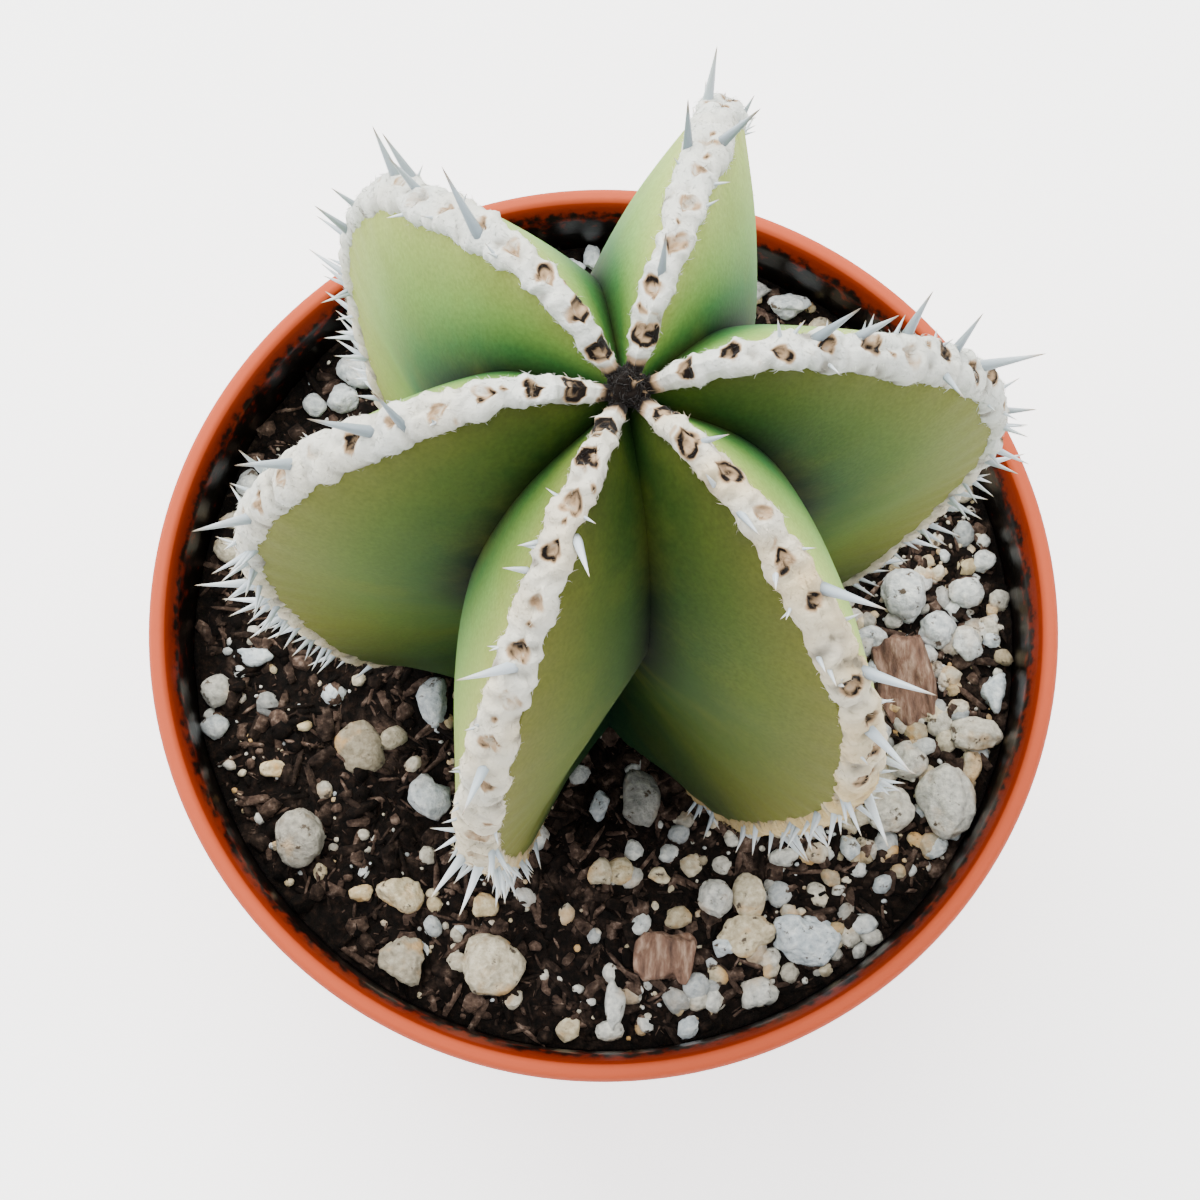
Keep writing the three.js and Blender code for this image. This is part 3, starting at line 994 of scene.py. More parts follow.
@dataclass(frozen=True)
class RibSystem:
    """The shape of the stem, as in the CAD: crests and grooves round a leaning axis."""

    foot: tuple[float, float, float] = (-1.5, 1.5, 80.0)
    lean: tuple[float, float] = (2.3, 1.2)
    crest_half_width: float = 1.3
    crest_round: float = 0.07
    bulge: tuple[float, float, float] = (0.09, 0.05, 0.01)
    crest: Profile = Profile(
        ((0.4, 160.5), (8.5, 164), (17.5, 161.5), (29, 151.5), (34, 136), (34, 123), (32, 105.5), (28, 88.5), (18, 74.5))
    )
    groove: Profile = Profile(((0.4, 159), (10, 156), (16.5, 140.5), (13, 118.5), (9, 97), (14, 74)))
    groove_azimuths: tuple[float, ...] = (99.5, 42, -14, -80, -140, -198)

    def _turn(self) -> np.ndarray:
        """The rotation that leans the upright plant.

        Returns:
            A 3 by 3 matrix.
        """
        slope_x, slope_y = (math.tan(math.radians(a)) for a in self.lean)
        aim = Vector((slope_x, slope_y, 1)).normalized()
        return np.array(Vector((0, 0, 1)).rotation_difference(aim).to_matrix())

    def planted(self, points: np.ndarray) -> np.ndarray:
        """Takes upright millimetres to the plant's place in metres.

        Args:
            points: Upright points.

        Returns:
            The points in the pot, in metres.
        """
        base = np.array([0, 0, self.foot[2]])
        return ((points - base) @ self._turn().T + np.array(self.foot)) * MM

    def leaned(self, directions: np.ndarray) -> np.ndarray:
        """Turns directions as the plant leans.

        Args:
            directions: Upright directions.

        Returns:
            The leaned directions.
        """
        return directions @ self._turn().T

    def skin(self, rib: int, across: np.ndarray, down: np.ndarray) -> np.ndarray:
        """Points on the skin, in the upright system, in millimetres.

        Args:
            rib: Which rib, from 0.
            across: -1 in the clockwise groove, 0 on the crest, 1 in the other groove.
            down: 0 at the crown, 1 at the foot.

        Returns:
            One point for each pair.
        """
        side = np.where(across < 0, -1.0, 1.0)
        depth = np.abs(across)
        crest, groove = self.crest.at(down), self.groove.at(down)
        facts = RIBS[rib]
        crest_angle = np.radians(facts.azimuth + facts.curl * (2 * down - 1))
        after, before = self.groove_azimuths[rib], self.groove_azimuths[(rib + 5) % 6]
        groove_angle = np.radians(np.where(across < 0, after, before))
        reach = crest[:, 0] * facts.reach
        top = np.stack([reach * np.cos(crest_angle), reach * np.sin(crest_angle), crest[:, 1]], -1)
        low = np.stack(
            [groove[:, 0] * np.cos(groove_angle), groove[:, 0] * np.sin(groove_angle), groove[:, 1]], -1
        )
        chord = low - top
        length = np.maximum(np.hypot(chord[:, 0], chord[:, 1]), 0.01)
        outward = np.stack([side * chord[:, 1], -side * chord[:, 0], 0 * side], -1) / length[:, None]
        rounded = np.sqrt(1 - (1 - np.minimum(depth / self.crest_round, 1)) ** 2)
        half = self.crest_half_width * np.minimum(1, crest[:, 0] / 6) * (1 - depth) * rounded
        swell = length * np.interp(down, [0, 0.5, 1], self.bulge) * 4 * depth * (1 - depth)
        return top + chord * depth[:, None] + outward * (half + swell)[:, None]

    def normal(self, rib: int, across: np.ndarray, down: np.ndarray) -> np.ndarray:
        """Outward normals of the skin, in the upright system.

        Args:
            rib: Which rib.
            across: As for skin.
            down: As for skin.

        Returns:
            One unit vector for each pair.
        """
        step = 0.004
        side = np.where(across < 0, -1.0, 1.0)
        on_crest = np.abs(across) < step
        start = np.where(on_crest, 0.0, across)
        sideways = self.skin(rib, start + side * step, down) - self.skin(rib, start, down)
        falling = self.skin(rib, start, down + step) - self.skin(rib, start, down - step)
        found = np.cross(sideways, falling) * -side[:, None]
        tangent = self.skin(rib, 0 * down, down + step) - self.skin(rib, 0 * down, down - step)
        ridge = np.cross(tangent, self.sideways(rib))
        found = np.where(on_crest[:, None], ridge, found)
        return found / np.maximum(np.linalg.norm(found, axis=1, keepdims=True), 1e-9)

    @staticmethod
    def sideways(rib: int) -> np.ndarray:
        """The direction across a rib, towards growing azimuth.

        Args:
            rib: Which rib.

        Returns:
            A unit vector.
        """
        angle = math.radians(RIBS[rib].azimuth)
        return np.array([-math.sin(angle), math.cos(angle), 0.0])

    def crest_length(self) -> tuple[np.ndarray, np.ndarray]:
        """How far down a crest each place is.

        Returns:
            Places from 0 to 1, and the millimetres from the crown to each.
        """
        places = np.linspace(0, 1, 600)
        line = self.crest.at(places)
        steps = np.hypot(*np.diff(line, axis=0).T)
        return places, np.concatenate([[0], np.cumsum(steps)])

    def areoles(self, rib: int) -> np.ndarray:
        """Places of the areoles down a rib, closer together near the crown.

        Args:
            rib: Which rib.

        Returns:
            Places from 0 to 1.
        """
        places, lengths = self.crest_length()
        found = []
        reach = 3.6 + 0.5 * (rib % 3)
        while reach < lengths[-1] - 8:
            found.append(float(np.interp(reach, lengths, places)))
            reach += 3.3 + min(reach, 45) * 0.04
        return np.array(found)


# ------------------------------------------------------------------------------- the plant


@dataclass(frozen=True)
class Stem:
    """The green stem, in one mesh with the values that its finish reads."""

    ribs: RibSystem
    rows: int = 190
    lanes: int = 19

    def build(self) -> bpy.types.Object:
        """Builds the skin down to the buried root crown.

        Returns:
            The stem.
        """
        even = np.linspace(0, 1, self.lanes)
        half = 0.5 * even**1.5 + 0.5 * (1 - (1 - even) ** 1.7)
        across = np.concatenate([-half[::-1][:-1], half])[:-1]
        across[0] = -1.0
        downs = np.linspace(0.004, 1, self.rows)
        columns, facts = [], {"depth": [], "down": [], "sun": [], "across": []}
        for rib in range(5, -1, -1):
            for lane in across:
                side = np.full(self.rows, lane)
                columns.append(self._column(rib, side, downs))
                rib_facts = RIBS[rib]
                # Painted light: each flank takes its rib's painted-lit share, and the groove lane the mean of the two
                # flanks that meet there.
                other = RIBS[(rib + 1) % 6].sun_before
                sun = rib_facts.sun_after if lane < 0 else rib_facts.sun_before
                sun = 0.5 * (sun + other) if lane == -1 else sun
                facts["depth"].append(np.abs(side))
                facts["down"].append(downs)
                facts["sun"].append(np.full(self.rows, sun))
                facts["across"].append(side * 3 + rib * 7)
        around = len(columns)
        points = np.stack(columns, axis=1).reshape(-1, 3)
        values = {name: np.stack(rows, axis=1).ravel() for name, rows in facts.items()}
        points, values, rows = self._rooted(points, values, around)
        faces = grid_faces(rows, around, wrap=True)
        faces.append(tuple(range(around)))
        faces.append(tuple(range(rows * around - 1, (rows - 1) * around - 1, -1)))
        piece = mesh_piece("stem_skin", points, faces, values)
        face_outwards(piece)
        piece.data.set_sharp_from_angle(angle=math.radians(40))
        return piece

    def _column(self, rib: int, side: np.ndarray, downs: np.ndarray) -> np.ndarray:
        """One line of skin from crown to foot, with slight unevenness.

        Args:
            rib: Which rib.
            side: The lane, repeated for each row.
            downs: The rows' places.

        Returns:
            Points in metres.
        """
        upright = self.ribs.skin(rib, side, downs)
        outward = self.ribs.normal(rib, side, downs) if abs(side[0]) < 1 else np.zeros((len(side), 3))
        depth = np.abs(side)
        waves = 0.35 * layered_noise(upright, 11.0, 3 + rib, 2) * depth * (1 - depth) * 4
        chin = np.zeros(len(downs))
        for place in self.ribs.areoles(rib):
            chin += 0.28 * np.exp(-(((downs - place) / 0.013) ** 2)) * np.exp(-((depth / 0.16) ** 2))
        fade = np.clip(downs * 12, 0, 1)
        return self.ribs.planted(upright + outward * ((waves + chin) * fade)[:, None])

    def _rooted(
        self, points: np.ndarray, values: dict[str, np.ndarray], around: int
    ) -> tuple[np.ndarray, dict[str, np.ndarray], int]:
        """Adds the buried rings that close the foot.

        Args:
            points: The skin's points.
            values: Its values.
            around: Points in a ring.

        Returns:
            The points and values with the rings added, and how many rings there are.
        """
        last = points[-around:]
        centre = last.mean(axis=0)
        rings = [points]
        for share, drop in ((0.66, 7.5), (0.33, 15.5)):
            ring = centre + (last - centre) * share
            ring[:, 2] = last[:, 2] - drop * MM
            rings.append(ring)
        grown = {name: np.concatenate([v, v[-around:], v[-around:]]) for name, v in values.items()}
        return np.vstack(rings), grown, len(points) // around + 2


def fibre_shape(name: str, bend: float) -> bpy.types.Object:
    """A thin curved hair one unit long, standing on its root.

    Args:
        name: The object's name.
        bend: How far its tip leans.

    Returns:
        The hair.
    """
    points, faces = [], []
    for height, width, shift in ((0, 0.05, 0), (0.55, 0.04, 0.3 * bend)):
        for corner in range(3):
            angle = corner * math.tau / 3
            points.append((width * math.cos(angle) + shift, width * math.sin(angle), height))
    points.append((bend, 0, 1))
    for corner in range(3):
        other = (corner + 1) % 3
        faces.append((corner, other, other + 3, corner + 3))
        faces.append((corner + 3, other + 3, 6))
    faces.append((2, 1, 0))
    return mesh_piece(name, np.array(points), faces)


@dataclass(frozen=True)
class WoolBand:
    """The felted band on one rib's crest: a lumpy core with pits at the areoles, and loose hairs."""

    ribs: RibSystem
    rib: int
    rows: int = 440
    lanes: int = 21
    first: float = 0.015
    last: float = 0.97

    def build(self, felt: bpy.types.Material) -> bpy.types.Object:
        """Builds the band with its hairs.

        Args:
            felt: The wool's finish.

        Returns:
            One mesh.
        """
        core = self._core()
        hairs = Scatter(Bits.FIBRE, 3.5, 0.25, 0.65, 1.3, (50, 88), 40 + self.rib)
        fuzz = hairs.over(core, [fibre_shape(f"hair_{i}", 0.2 + 0.25 * i) for i in range(3)], felt)
        return joined(f"rib_{self.rib + 1}_felt", [core, fuzz])

    def _core(self) -> bpy.types.Object:
        """The felt itself.

        Returns:
            A closed mesh with "stain", "aged" and "spread" values.
        """
        downs = np.linspace(self.first, self.last, self.rows)
        lanes = np.linspace(-1, 1, self.lanes)
        down = np.repeat(downs, self.lanes)
        lane = np.tile(lanes, self.rows)
        places, lengths = self.ribs.crest_length()
        run = np.interp(down, places, lengths)
        half = self._half_width(run, down, np.sign(lane))
        across = self._reached(downs, (lane * half).reshape(self.rows, self.lanes)).ravel()
        upright = self.ribs.skin(self.rib, across, down)
        outward = self.ribs.normal(self.rib, across, down)
        height, stain = self._relief(run, lane * half, upright)
        dome = (1 - np.abs(lane) ** 2.4) * np.interp(down, [0, 0.08, 0.3, 1], [0.3, 0.6, 0.85, 0.7])
        edge = 1 - np.abs(lane) ** 6
        felt = np.maximum(dome + height * edge, 0.5 * edge)
        top = upright + outward * (felt - 0.05)[:, None]
        under = upright - outward * 0.4
        hollow = np.clip(2.6 * (0.16 - height), 0, 0.85) * (1 - np.clip(stain, 0, 1))
        points = self.ribs.planted(np.vstack([top, under]))
        values = {"stain": stain, "aged": self._aged(down, upright), "hollow": hollow}
        values["spread"] = np.ones(len(down))
        return self._close(points, values)

    def _reached(self, downs: np.ndarray, arc: np.ndarray) -> np.ndarray:
        """Finds the places on the skin that lie given distances from the crest.

        Args:
            downs: The rows' places down the crest.
            arc: Signed millimetres along the skin from the crest, a row for each place.

        Returns:
            The "across" values.
        """
        steps = np.linspace(0, 1, 60) ** 3 * 0.6
        found = np.zeros_like(arc)
        for side in (-1, 1):
            across = np.tile(side * np.maximum(steps, 1e-6), len(downs))
            line = self.ribs.skin(self.rib, across, np.repeat(downs, len(steps)))
            gaps = np.linalg.norm(np.diff(line.reshape(len(downs), len(steps), 3), axis=1), axis=2)
            runs = np.concatenate([np.zeros((len(downs), 1)), np.cumsum(gaps, axis=1)], axis=1)
            for row, (run, wanted) in enumerate(zip(runs, arc)):
                mine = np.sign(wanted) == side
                found[row, mine] = side * np.interp(np.abs(wanted[mine]), run, steps)
        return found

    def _half_width(self, run: np.ndarray, down: np.ndarray, side: np.ndarray) -> np.ndarray:
        """Half the band's width, wavy along each edge.

        Args:
            run: Millimetres down the crest.
            down: Place down the crest.
            side: -1 or 1.

        Returns:
            Millimetres.
        """
        base = np.interp(down, [0, 0.06, 0.15, 0.35, 0.6, 0.85, 1], [0.8, 1.6, 1.8, 2.2, 2.3, 2.0, 1.5])
        at = np.stack([run, 5 * side, 0 * run + self.rib * 9], -1)
        wave = 0.22 * value_noise(at, 3.4, 5) + 0.13 * value_noise(at, 1.1, 6) + 0.08 * value_noise(at, 0.45, 7)
        lumps = sum(np.exp(-(((down - place) / 0.014) ** 2)) for place in self.ribs.areoles(self.rib))
        return base * (0.9 + wave + 0.2 * np.minimum(lumps, 1))

    def _relief(self, run: np.ndarray, aside: np.ndarray, upright: np.ndarray) -> tuple[np.ndarray, np.ndarray]:
        """Lumps, pits and tufts of the felt, and its brown stain.

        Args:
            run: Millimetres down the crest.
            aside: Millimetres to the side of the crest.
            upright: The points.

        Returns:
            Extra height in millimetres, and stain from 0 to 1.
        """
        random = np.random.default_rng(90 + self.rib)
        places, lengths = self.ribs.crest_length()
        ropes = 1 - 2 * np.abs(value_noise(upright, 1.5, 11))
        height = 0.32 * ropes + 0.2 * value_noise(upright, 0.62, 12) + 0.08 * value_noise(upright, 0.3, 13)
        stain = np.clip(value_noise(upright, 0.9, 14) - 0.72, 0, 1) * 1.6
        for index, place in enumerate(self.ribs.areoles(self.rib)):
            centre = float(np.interp(place, places, lengths))
            shift = random.uniform(-0.45, 0.45)
            gap = np.hypot(run - centre, aside - shift)
            near_crown = max(0.0, 1 - index / 5)
            size = random.uniform(0.5, 0.8)
            weight = max(near_crown, random.choice([0.15, 0.4, 0.7, 1.0]) * 0.75)
            height += 0.45 * np.exp(-((gap / 1.6) ** 2)) - (0.5 + 0.35 * weight) * np.exp(
                -((gap / size) ** 2)
            )
            ring = np.exp(-(((gap - size) / 0.2) ** 2)) + 1.0 * np.exp(-((gap / (0.8 * size)) ** 2))
            mottled = 0.75 + 0.5 * value_noise(upright, 0.5, 15)
            stain += 1.25 * weight * ring * mottled
            speck = np.hypot(run - centre - random.uniform(1.4, 2.4), aside - random.uniform(-1, 1))
            stain += random.choice([0.0, 0.0, 0.9]) * np.exp(-((speck / 0.28) ** 2))
        crown = np.clip(1 - (run - 1.4) / 1.2, 0, 1)
        return height, np.clip(stain + crown, 0, 1)

    def _aged(self, down: np.ndarray, upright: np.ndarray) -> np.ndarray:
        """How cream the wool has turned.

        Args:
            down: Place down the crest.
            upright: The points.

        Returns:
            0 to 1.
        """
        age = RIBS[self.rib].aged
        ramp = np.interp(down, [0, 0.15, 0.4, 0.6, 1], [0.25, 0.5, 0.75, 1.15, 1.3]) * age
        late = np.interp(down, [0.5, 0.75], [0, 0.35])
        return np.clip(ramp + late + 0.3 * value_noise(upright, 3.0, 21) * (0.3 + age), 0, 1)

    def _close(self, points: np.ndarray, values: dict[str, np.ndarray]) -> bpy.types.Object:
        """Joins the band's back and underside into one closed skin.

        Args:
            points: The back's points, then the underside's.
            values: The back's values.

        Returns:
            The mesh object.
        """
        back = np.arange(self.rows * self.lanes).reshape(self.rows, self.lanes)
        under = back + self.rows * self.lanes
        faces = []
        for row in range(self.rows - 1):
            for lane in range(self.lanes - 1):
                faces.append(
                    (back[row, lane], back[row + 1, lane], back[row + 1, lane + 1], back[row, lane + 1])
                )
                faces.append(
                    (under[row, lane], under[row, lane + 1], under[row + 1, lane + 1], under[row + 1, lane])
                )
            for lane in (0, self.lanes - 1):
                faces.append((back[row, lane], under[row, lane], under[row + 1, lane], back[row + 1, lane]))
        for row in (0, self.rows - 1):
            for lane in range(self.lanes - 1):
                faces.append((back[row, lane], back[row, lane + 1], under[row, lane + 1], under[row, lane]))
        doubled = {name: np.concatenate([v, v]) for name, v in values.items()}
        doubled["spread"] = np.concatenate([values["spread"], 0 * values["spread"]])
        piece = mesh_piece("felt", points, [[int(i) for i in f] for f in faces], doubled)
        face_outwards(piece)
        return piece


@dataclass(frozen=True)
class SpineSet:
    """All the spines of one rib, in one mesh: the long ones and the short radial ones."""

    ribs: RibSystem
    rib: int

    def build(self) -> bpy.types.Object:
        """Builds the spines.

        Returns:
            One mesh with "along" and "shade" values.
        """
        spines = list(RIBS[self.rib].spines) + self._radials()
        points, faces, along, shade = [], [], [], []
        for index, spine in enumerate(spines):
            shape, quads, rise = self._cone(spine, index)
            faces += [tuple(i + len(points) for i in face) for face in quads]
            points += list(shape)
            along += rise
            shade += [spine.white] * len(rise)
        values = {"along": np.array(along), "shade": np.array(shade)}
        piece = mesh_piece(f"rib_{self.rib + 1}_spines", np.array(points), faces, values)
        face_outwards(piece)
        return piece

    def _radials(self) -> list[Spine]:
        """The short spines: few near the crown, a fan at each older areole.

        Returns:
            The spines.
        """
        random = np.random.default_rng(300 + self.rib)
        found = []
        for index, place in enumerate(self.ribs.areoles(self.rib)):
            if index < 2:
                continue
            old = place > 0.47
            count = random.integers(4, 7) if old else random.integers(0, 3)
            for _ in range(count):
                side = float(random.uniform(-70, 70))
                length = float(random.uniform(2.2, 4.6) if old else random.uniform(1.2, 2.3))
                found.append(
                    Spine(
                        place + float(random.uniform(-0.006, 0.006)),
                        math.copysign(float(random.uniform(0.2, 0.9)), side),
                        length * (1 - 0.35 * abs(side) / 70),
                        float(random.uniform(-35, 35)),
                        side,
                        float(random.uniform(0.5, 1.0)),
                    )
                )
        return found

    def _cone(self, spine: Spine, index: int) -> tuple[np.ndarray, list[tuple[int, ...]], list[float]]:
        """One slightly curved spine.

        Args:
            spine: Its facts.
            index: Its number, which picks its curve.

        Returns:
            Points in metres, faces, and each point's share of the length.
        """
        at = np.array([spine.at])
        reach = np.array([spine.aside / 20])
        normal = self.ribs.normal(self.rib, 0 * at, at)[0]
        above = self.ribs.skin(self.rib, 0 * at, at + 0.01)
        below = self.ribs.skin(self.rib, 0 * at, at - 0.01)
        tangent = (above - below)[0]
        tangent /= np.linalg.norm(tangent)
        across = self.ribs.sideways(self.rib)
        lift, lean = math.radians(spine.along), math.radians(spine.side)
        aim = math.cos(lean) * (math.cos(lift) * normal + math.sin(lift) * tangent) + math.sin(lean) * across
        root = self.ribs.skin(self.rib, reach, at)[0] - 0.1 * normal
        width = 0.13 + 0.055 * spine.length
        bow = 0.05 * math.sin(index * 2.4) * spine.length
        first = np.cross(aim, [0.3, 0.5, 0.8])
        first /= np.linalg.norm(first)
        second = np.cross(aim, first)
        rings = ((0, 1.0), (0.12, 1.12), (0.3, 0.92), (0.55, 0.62), (0.78, 0.32), (0.94, 0.12))
        length = spine.length + 0.8
        points, rise = [], []
        for share, girth in rings:
            middle = root + aim * length * share + first * bow * share**2
            for corner in range(7):
                angle = corner * math.tau / 7
                offset = first * math.cos(angle) + second * math.sin(angle)
                points.append(middle + offset * width * girth)
                rise.append(share)
        points.append(root + aim * length + first * bow)
        rise.append(1.0)
        faces = grid_faces(len(rings), 7, wrap=True)
        tip, ring = len(points) - 1, (len(rings) - 1) * 7
        faces += [(ring + c, tip, ring + (c + 1) % 7) for c in range(7)]
        faces.append(tuple(range(6, -1, -1)))
        return self.ribs.planted(np.array(points)), faces, rise


@dataclass(frozen=True)
class CrownTuft:
    """The dark wool and spine buds at the growing point."""

    ribs: RibSystem
    radius: float = 1.6

    def build(self, felt: bpy.types.Material) -> bpy.types.Object:
        """Builds the tuft.

        Args:
            felt: The wool's finish.

        Returns:
            One mesh.
        """
        apex = self.ribs.planted(np.array([[0, 0, 160.8]]))[0]
        shape = bmesh.new()
        bmesh.ops.create_icosphere(shape, subdivisions=5, radius=1)
        unit = np.array([v.co[:] for v in shape.verts])
        faces = [[v.index for v in f.verts] for f in shape.faces]
        shape.free()
        lumps = 1 + 0.22 * value_noise(unit, 0.4, 31) + 0.12 * value_noise(unit, 0.17, 32)
        points = unit * lumps[:, None] * np.array([self.radius, self.radius, 1.4]) * MM + apex
        height = unit[:, 2] + 0.25 * value_noise(unit, 0.3, 33)
        stain = np.clip(1.1 + 0.6 * value_noise(unit, 0.28, 34), 0, 1)
        values = {"stain": stain, "aged": 0 * stain + 0.3, "spread": (height > 0.2).astype(float)}
        values["hollow"] = 0 * stain
        core = mesh_piece("crown_core", points, faces, values)
        hairs = Scatter(Bits.FIBRE, 10.0, 0.4, 1.1, 1.2, (30, 80), 77)
        fuzz = hairs.over(core, [fibre_shape(f"bud_{i}", 0.15 * i) for i in range(3)], felt)
        return joined("crown_wool", [core, fuzz])


# ------------------------------------------------------------------------------- the pot


@dataclass(frozen=True)
class NurseryPot:
    """The injection-moulded pot, with its rim skirt, tapered wall, foot ring and drain holes."""

    segments: int = 192
    wall: float = 1.2
    skirt: float = 15.0
    shoulder: float = 48.2
    foot: float = 36.0
    drain_circle: float = 22.0
    drain_radius: float = 3.5

    def build(self) -> bpy.types.Object:
        """Builds the pot.

        Returns:
            The pot, with its "inside" value.
        """
        outline = self._outline()
        angles = np.linspace(0, math.tau, self.segments, endpoint=False)
        radius = np.array([r for r, _, _ in outline])[:, None]
        height = np.array([z for _, z, _ in outline])[:, None]
        inside = np.repeat([i for _, _, i in outline], self.segments)
        grid = np.stack([radius * np.cos(angles), radius * np.sin(angles), height + 0 * angles], -1)
        points = grid.reshape(-1, 3) * MM
        faces = grid_faces(len(outline), self.segments, wrap=True)
        faces.append(tuple(range(self.segments)))
        end = len(outline) * self.segments
        faces.append(tuple(range(end - 1, end - 1 - self.segments, -1)))
        pot = mesh_piece("pot_shell", points, faces, {"inside": inside})
        face_outwards(pot)
        self._drill(pot)
        return pot

    def _outline(self) -> list[tuple[float, float, float]]:
        """The section from the underside's middle, up the outside, over the rim and down the inside.

        Returns:
            Radius, height and "inside" value of each point.
        """
        top = RIM_HEIGHT
        corners = [
            (1.0, 1.2, 0, 0.0), (8.0, 1.2, 0, 0.15), (8.6, 0.9, 0, 0.15), (9.2, 1.2, 0, 0.15), (25.5, 1.2, 0, 0.3),
            (27.0, 0.0, 0, 0.3), (self.foot - 0.8, 0.0, 0, 0.6), (self.foot, 1.0, 0, 0.5),
            (self.foot + 1.2, 8.0, 0, 0.3), (self.foot + 1.0, 8.6, 0, 0.2),
            (self.shoulder, top - self.skirt, 0, 0.4), (RIM_RADIUS - 0.8, top - self.skirt, 0, 0.3),
            (RIM_RADIUS, top - 0.8, 0, 0.5), (RIM_RADIUS - 0.5, top, 0, 0.4), (RIM_RADIUS - 1.5, top, 0.05, 0.3),
            (RIM_RADIUS - 2.2, top - 0.7, 0.35, 0.3), (RIM_RADIUS - 3.0, top - 2.4, 0.6, 0.4),
            (RIM_RADIUS - 3.3, top - 6.0, 0.85, 0.2), (RIM_RADIUS - 3.3, top - self.skirt, 1.0, 0.3),
            (self.shoulder - self.wall, top - self.skirt - 2, 1.0, 0.3), (self.foot - self.wall, 3.3, 1.0, 0.3),
            (self.foot - self.wall - 1.5, 3.0, 1.0, 0.2), (1.0, 3.0, 1.0, 0.0),
        ]
        outline = []
        for i, (r, z, inside, fillet) in enumerate(corners):
            here = np.array([r, z])
            if fillet == 0:
                outline.append((r, z, inside))
                continue
            before = np.array(corners[i - 1][:2]) - here
            after = np.array(corners[i + 1][:2]) - here
            before, after = before / np.linalg.norm(before), after / np.linalg.norm(after)
            for t in (0, 0.25, 0.5, 0.75, 1):
                point = here + before * fillet * (1 - t) ** 2 + after * fillet * t**2
                outline.append((float(point[0]), float(point[1]), inside))
        return outline

    def _drill(self, pot: bpy.types.Object) -> None:
        """Cuts the drain holes through the floor.

        Args:
            pot: The pot.
        """
        shape = bmesh.new()
        places = [(0.0, 0.0)]
        for hole in range(8):
            angle = hole * math.tau / 8
            places.append((self.drain_circle * math.cos(angle), self.drain_circle * math.sin(angle)))
        for x, y in places:
            made = bmesh.ops.create_cone(
                shape, cap_ends=True, segments=32, radius1=self.drain_radius * MM, radius2=self.drain_radius * MM,
                depth=12 * MM,
            )
            bmesh.ops.translate(shape, verts=made["verts"], vec=(x * MM, y * MM, 2 * MM))
        mesh = bpy.data.meshes.new("drills")
        shape.to_mesh(mesh)
        shape.free()
        drills = bpy.data.objects.new("drills", mesh)
        bpy.context.scene.collection.objects.link(drills)
        cut = pot.modifiers.new("drain", "BOOLEAN")
        cut.object = drills
        cut.operation = "DIFFERENCE"
        cut.solver = "EXACT"
        graph = bpy.context.evaluated_depsgraph_get()
        drilled = bpy.data.meshes.new_from_object(pot.evaluated_get(graph))
        pot.modifiers.clear()
        pot.data = drilled
        bpy.data.objects.remove(drills)


# ------------------------------------------------------------------------------- the mix and stones


def mix_height(x: np.ndarray, y: np.ndarray) -> np.ndarray:
    """Height of the mix's surface, in millimetres.

    Args:
        x: Places.
        y: Places.

    Returns:
        Heights.
    """
    flat = np.stack([x, y, 0 * x], -1)
    radius = np.hypot(x, y)
    swell = 0.8 * layered_noise(flat, 14.0, 51, 2) + 0.95 * layered_noise(flat, 3.6, 54, 3)
    rough = 0.4 * value_noise(flat, 0.9, 58) + 0.15 * value_noise(flat, 0.5, 59)
    near_wall = -1.4 * np.clip((radius - 42) / 5.5, 0, 1) ** 1.5
    return SOIL_LEVEL - 0.2 + swell + rough + near_wall


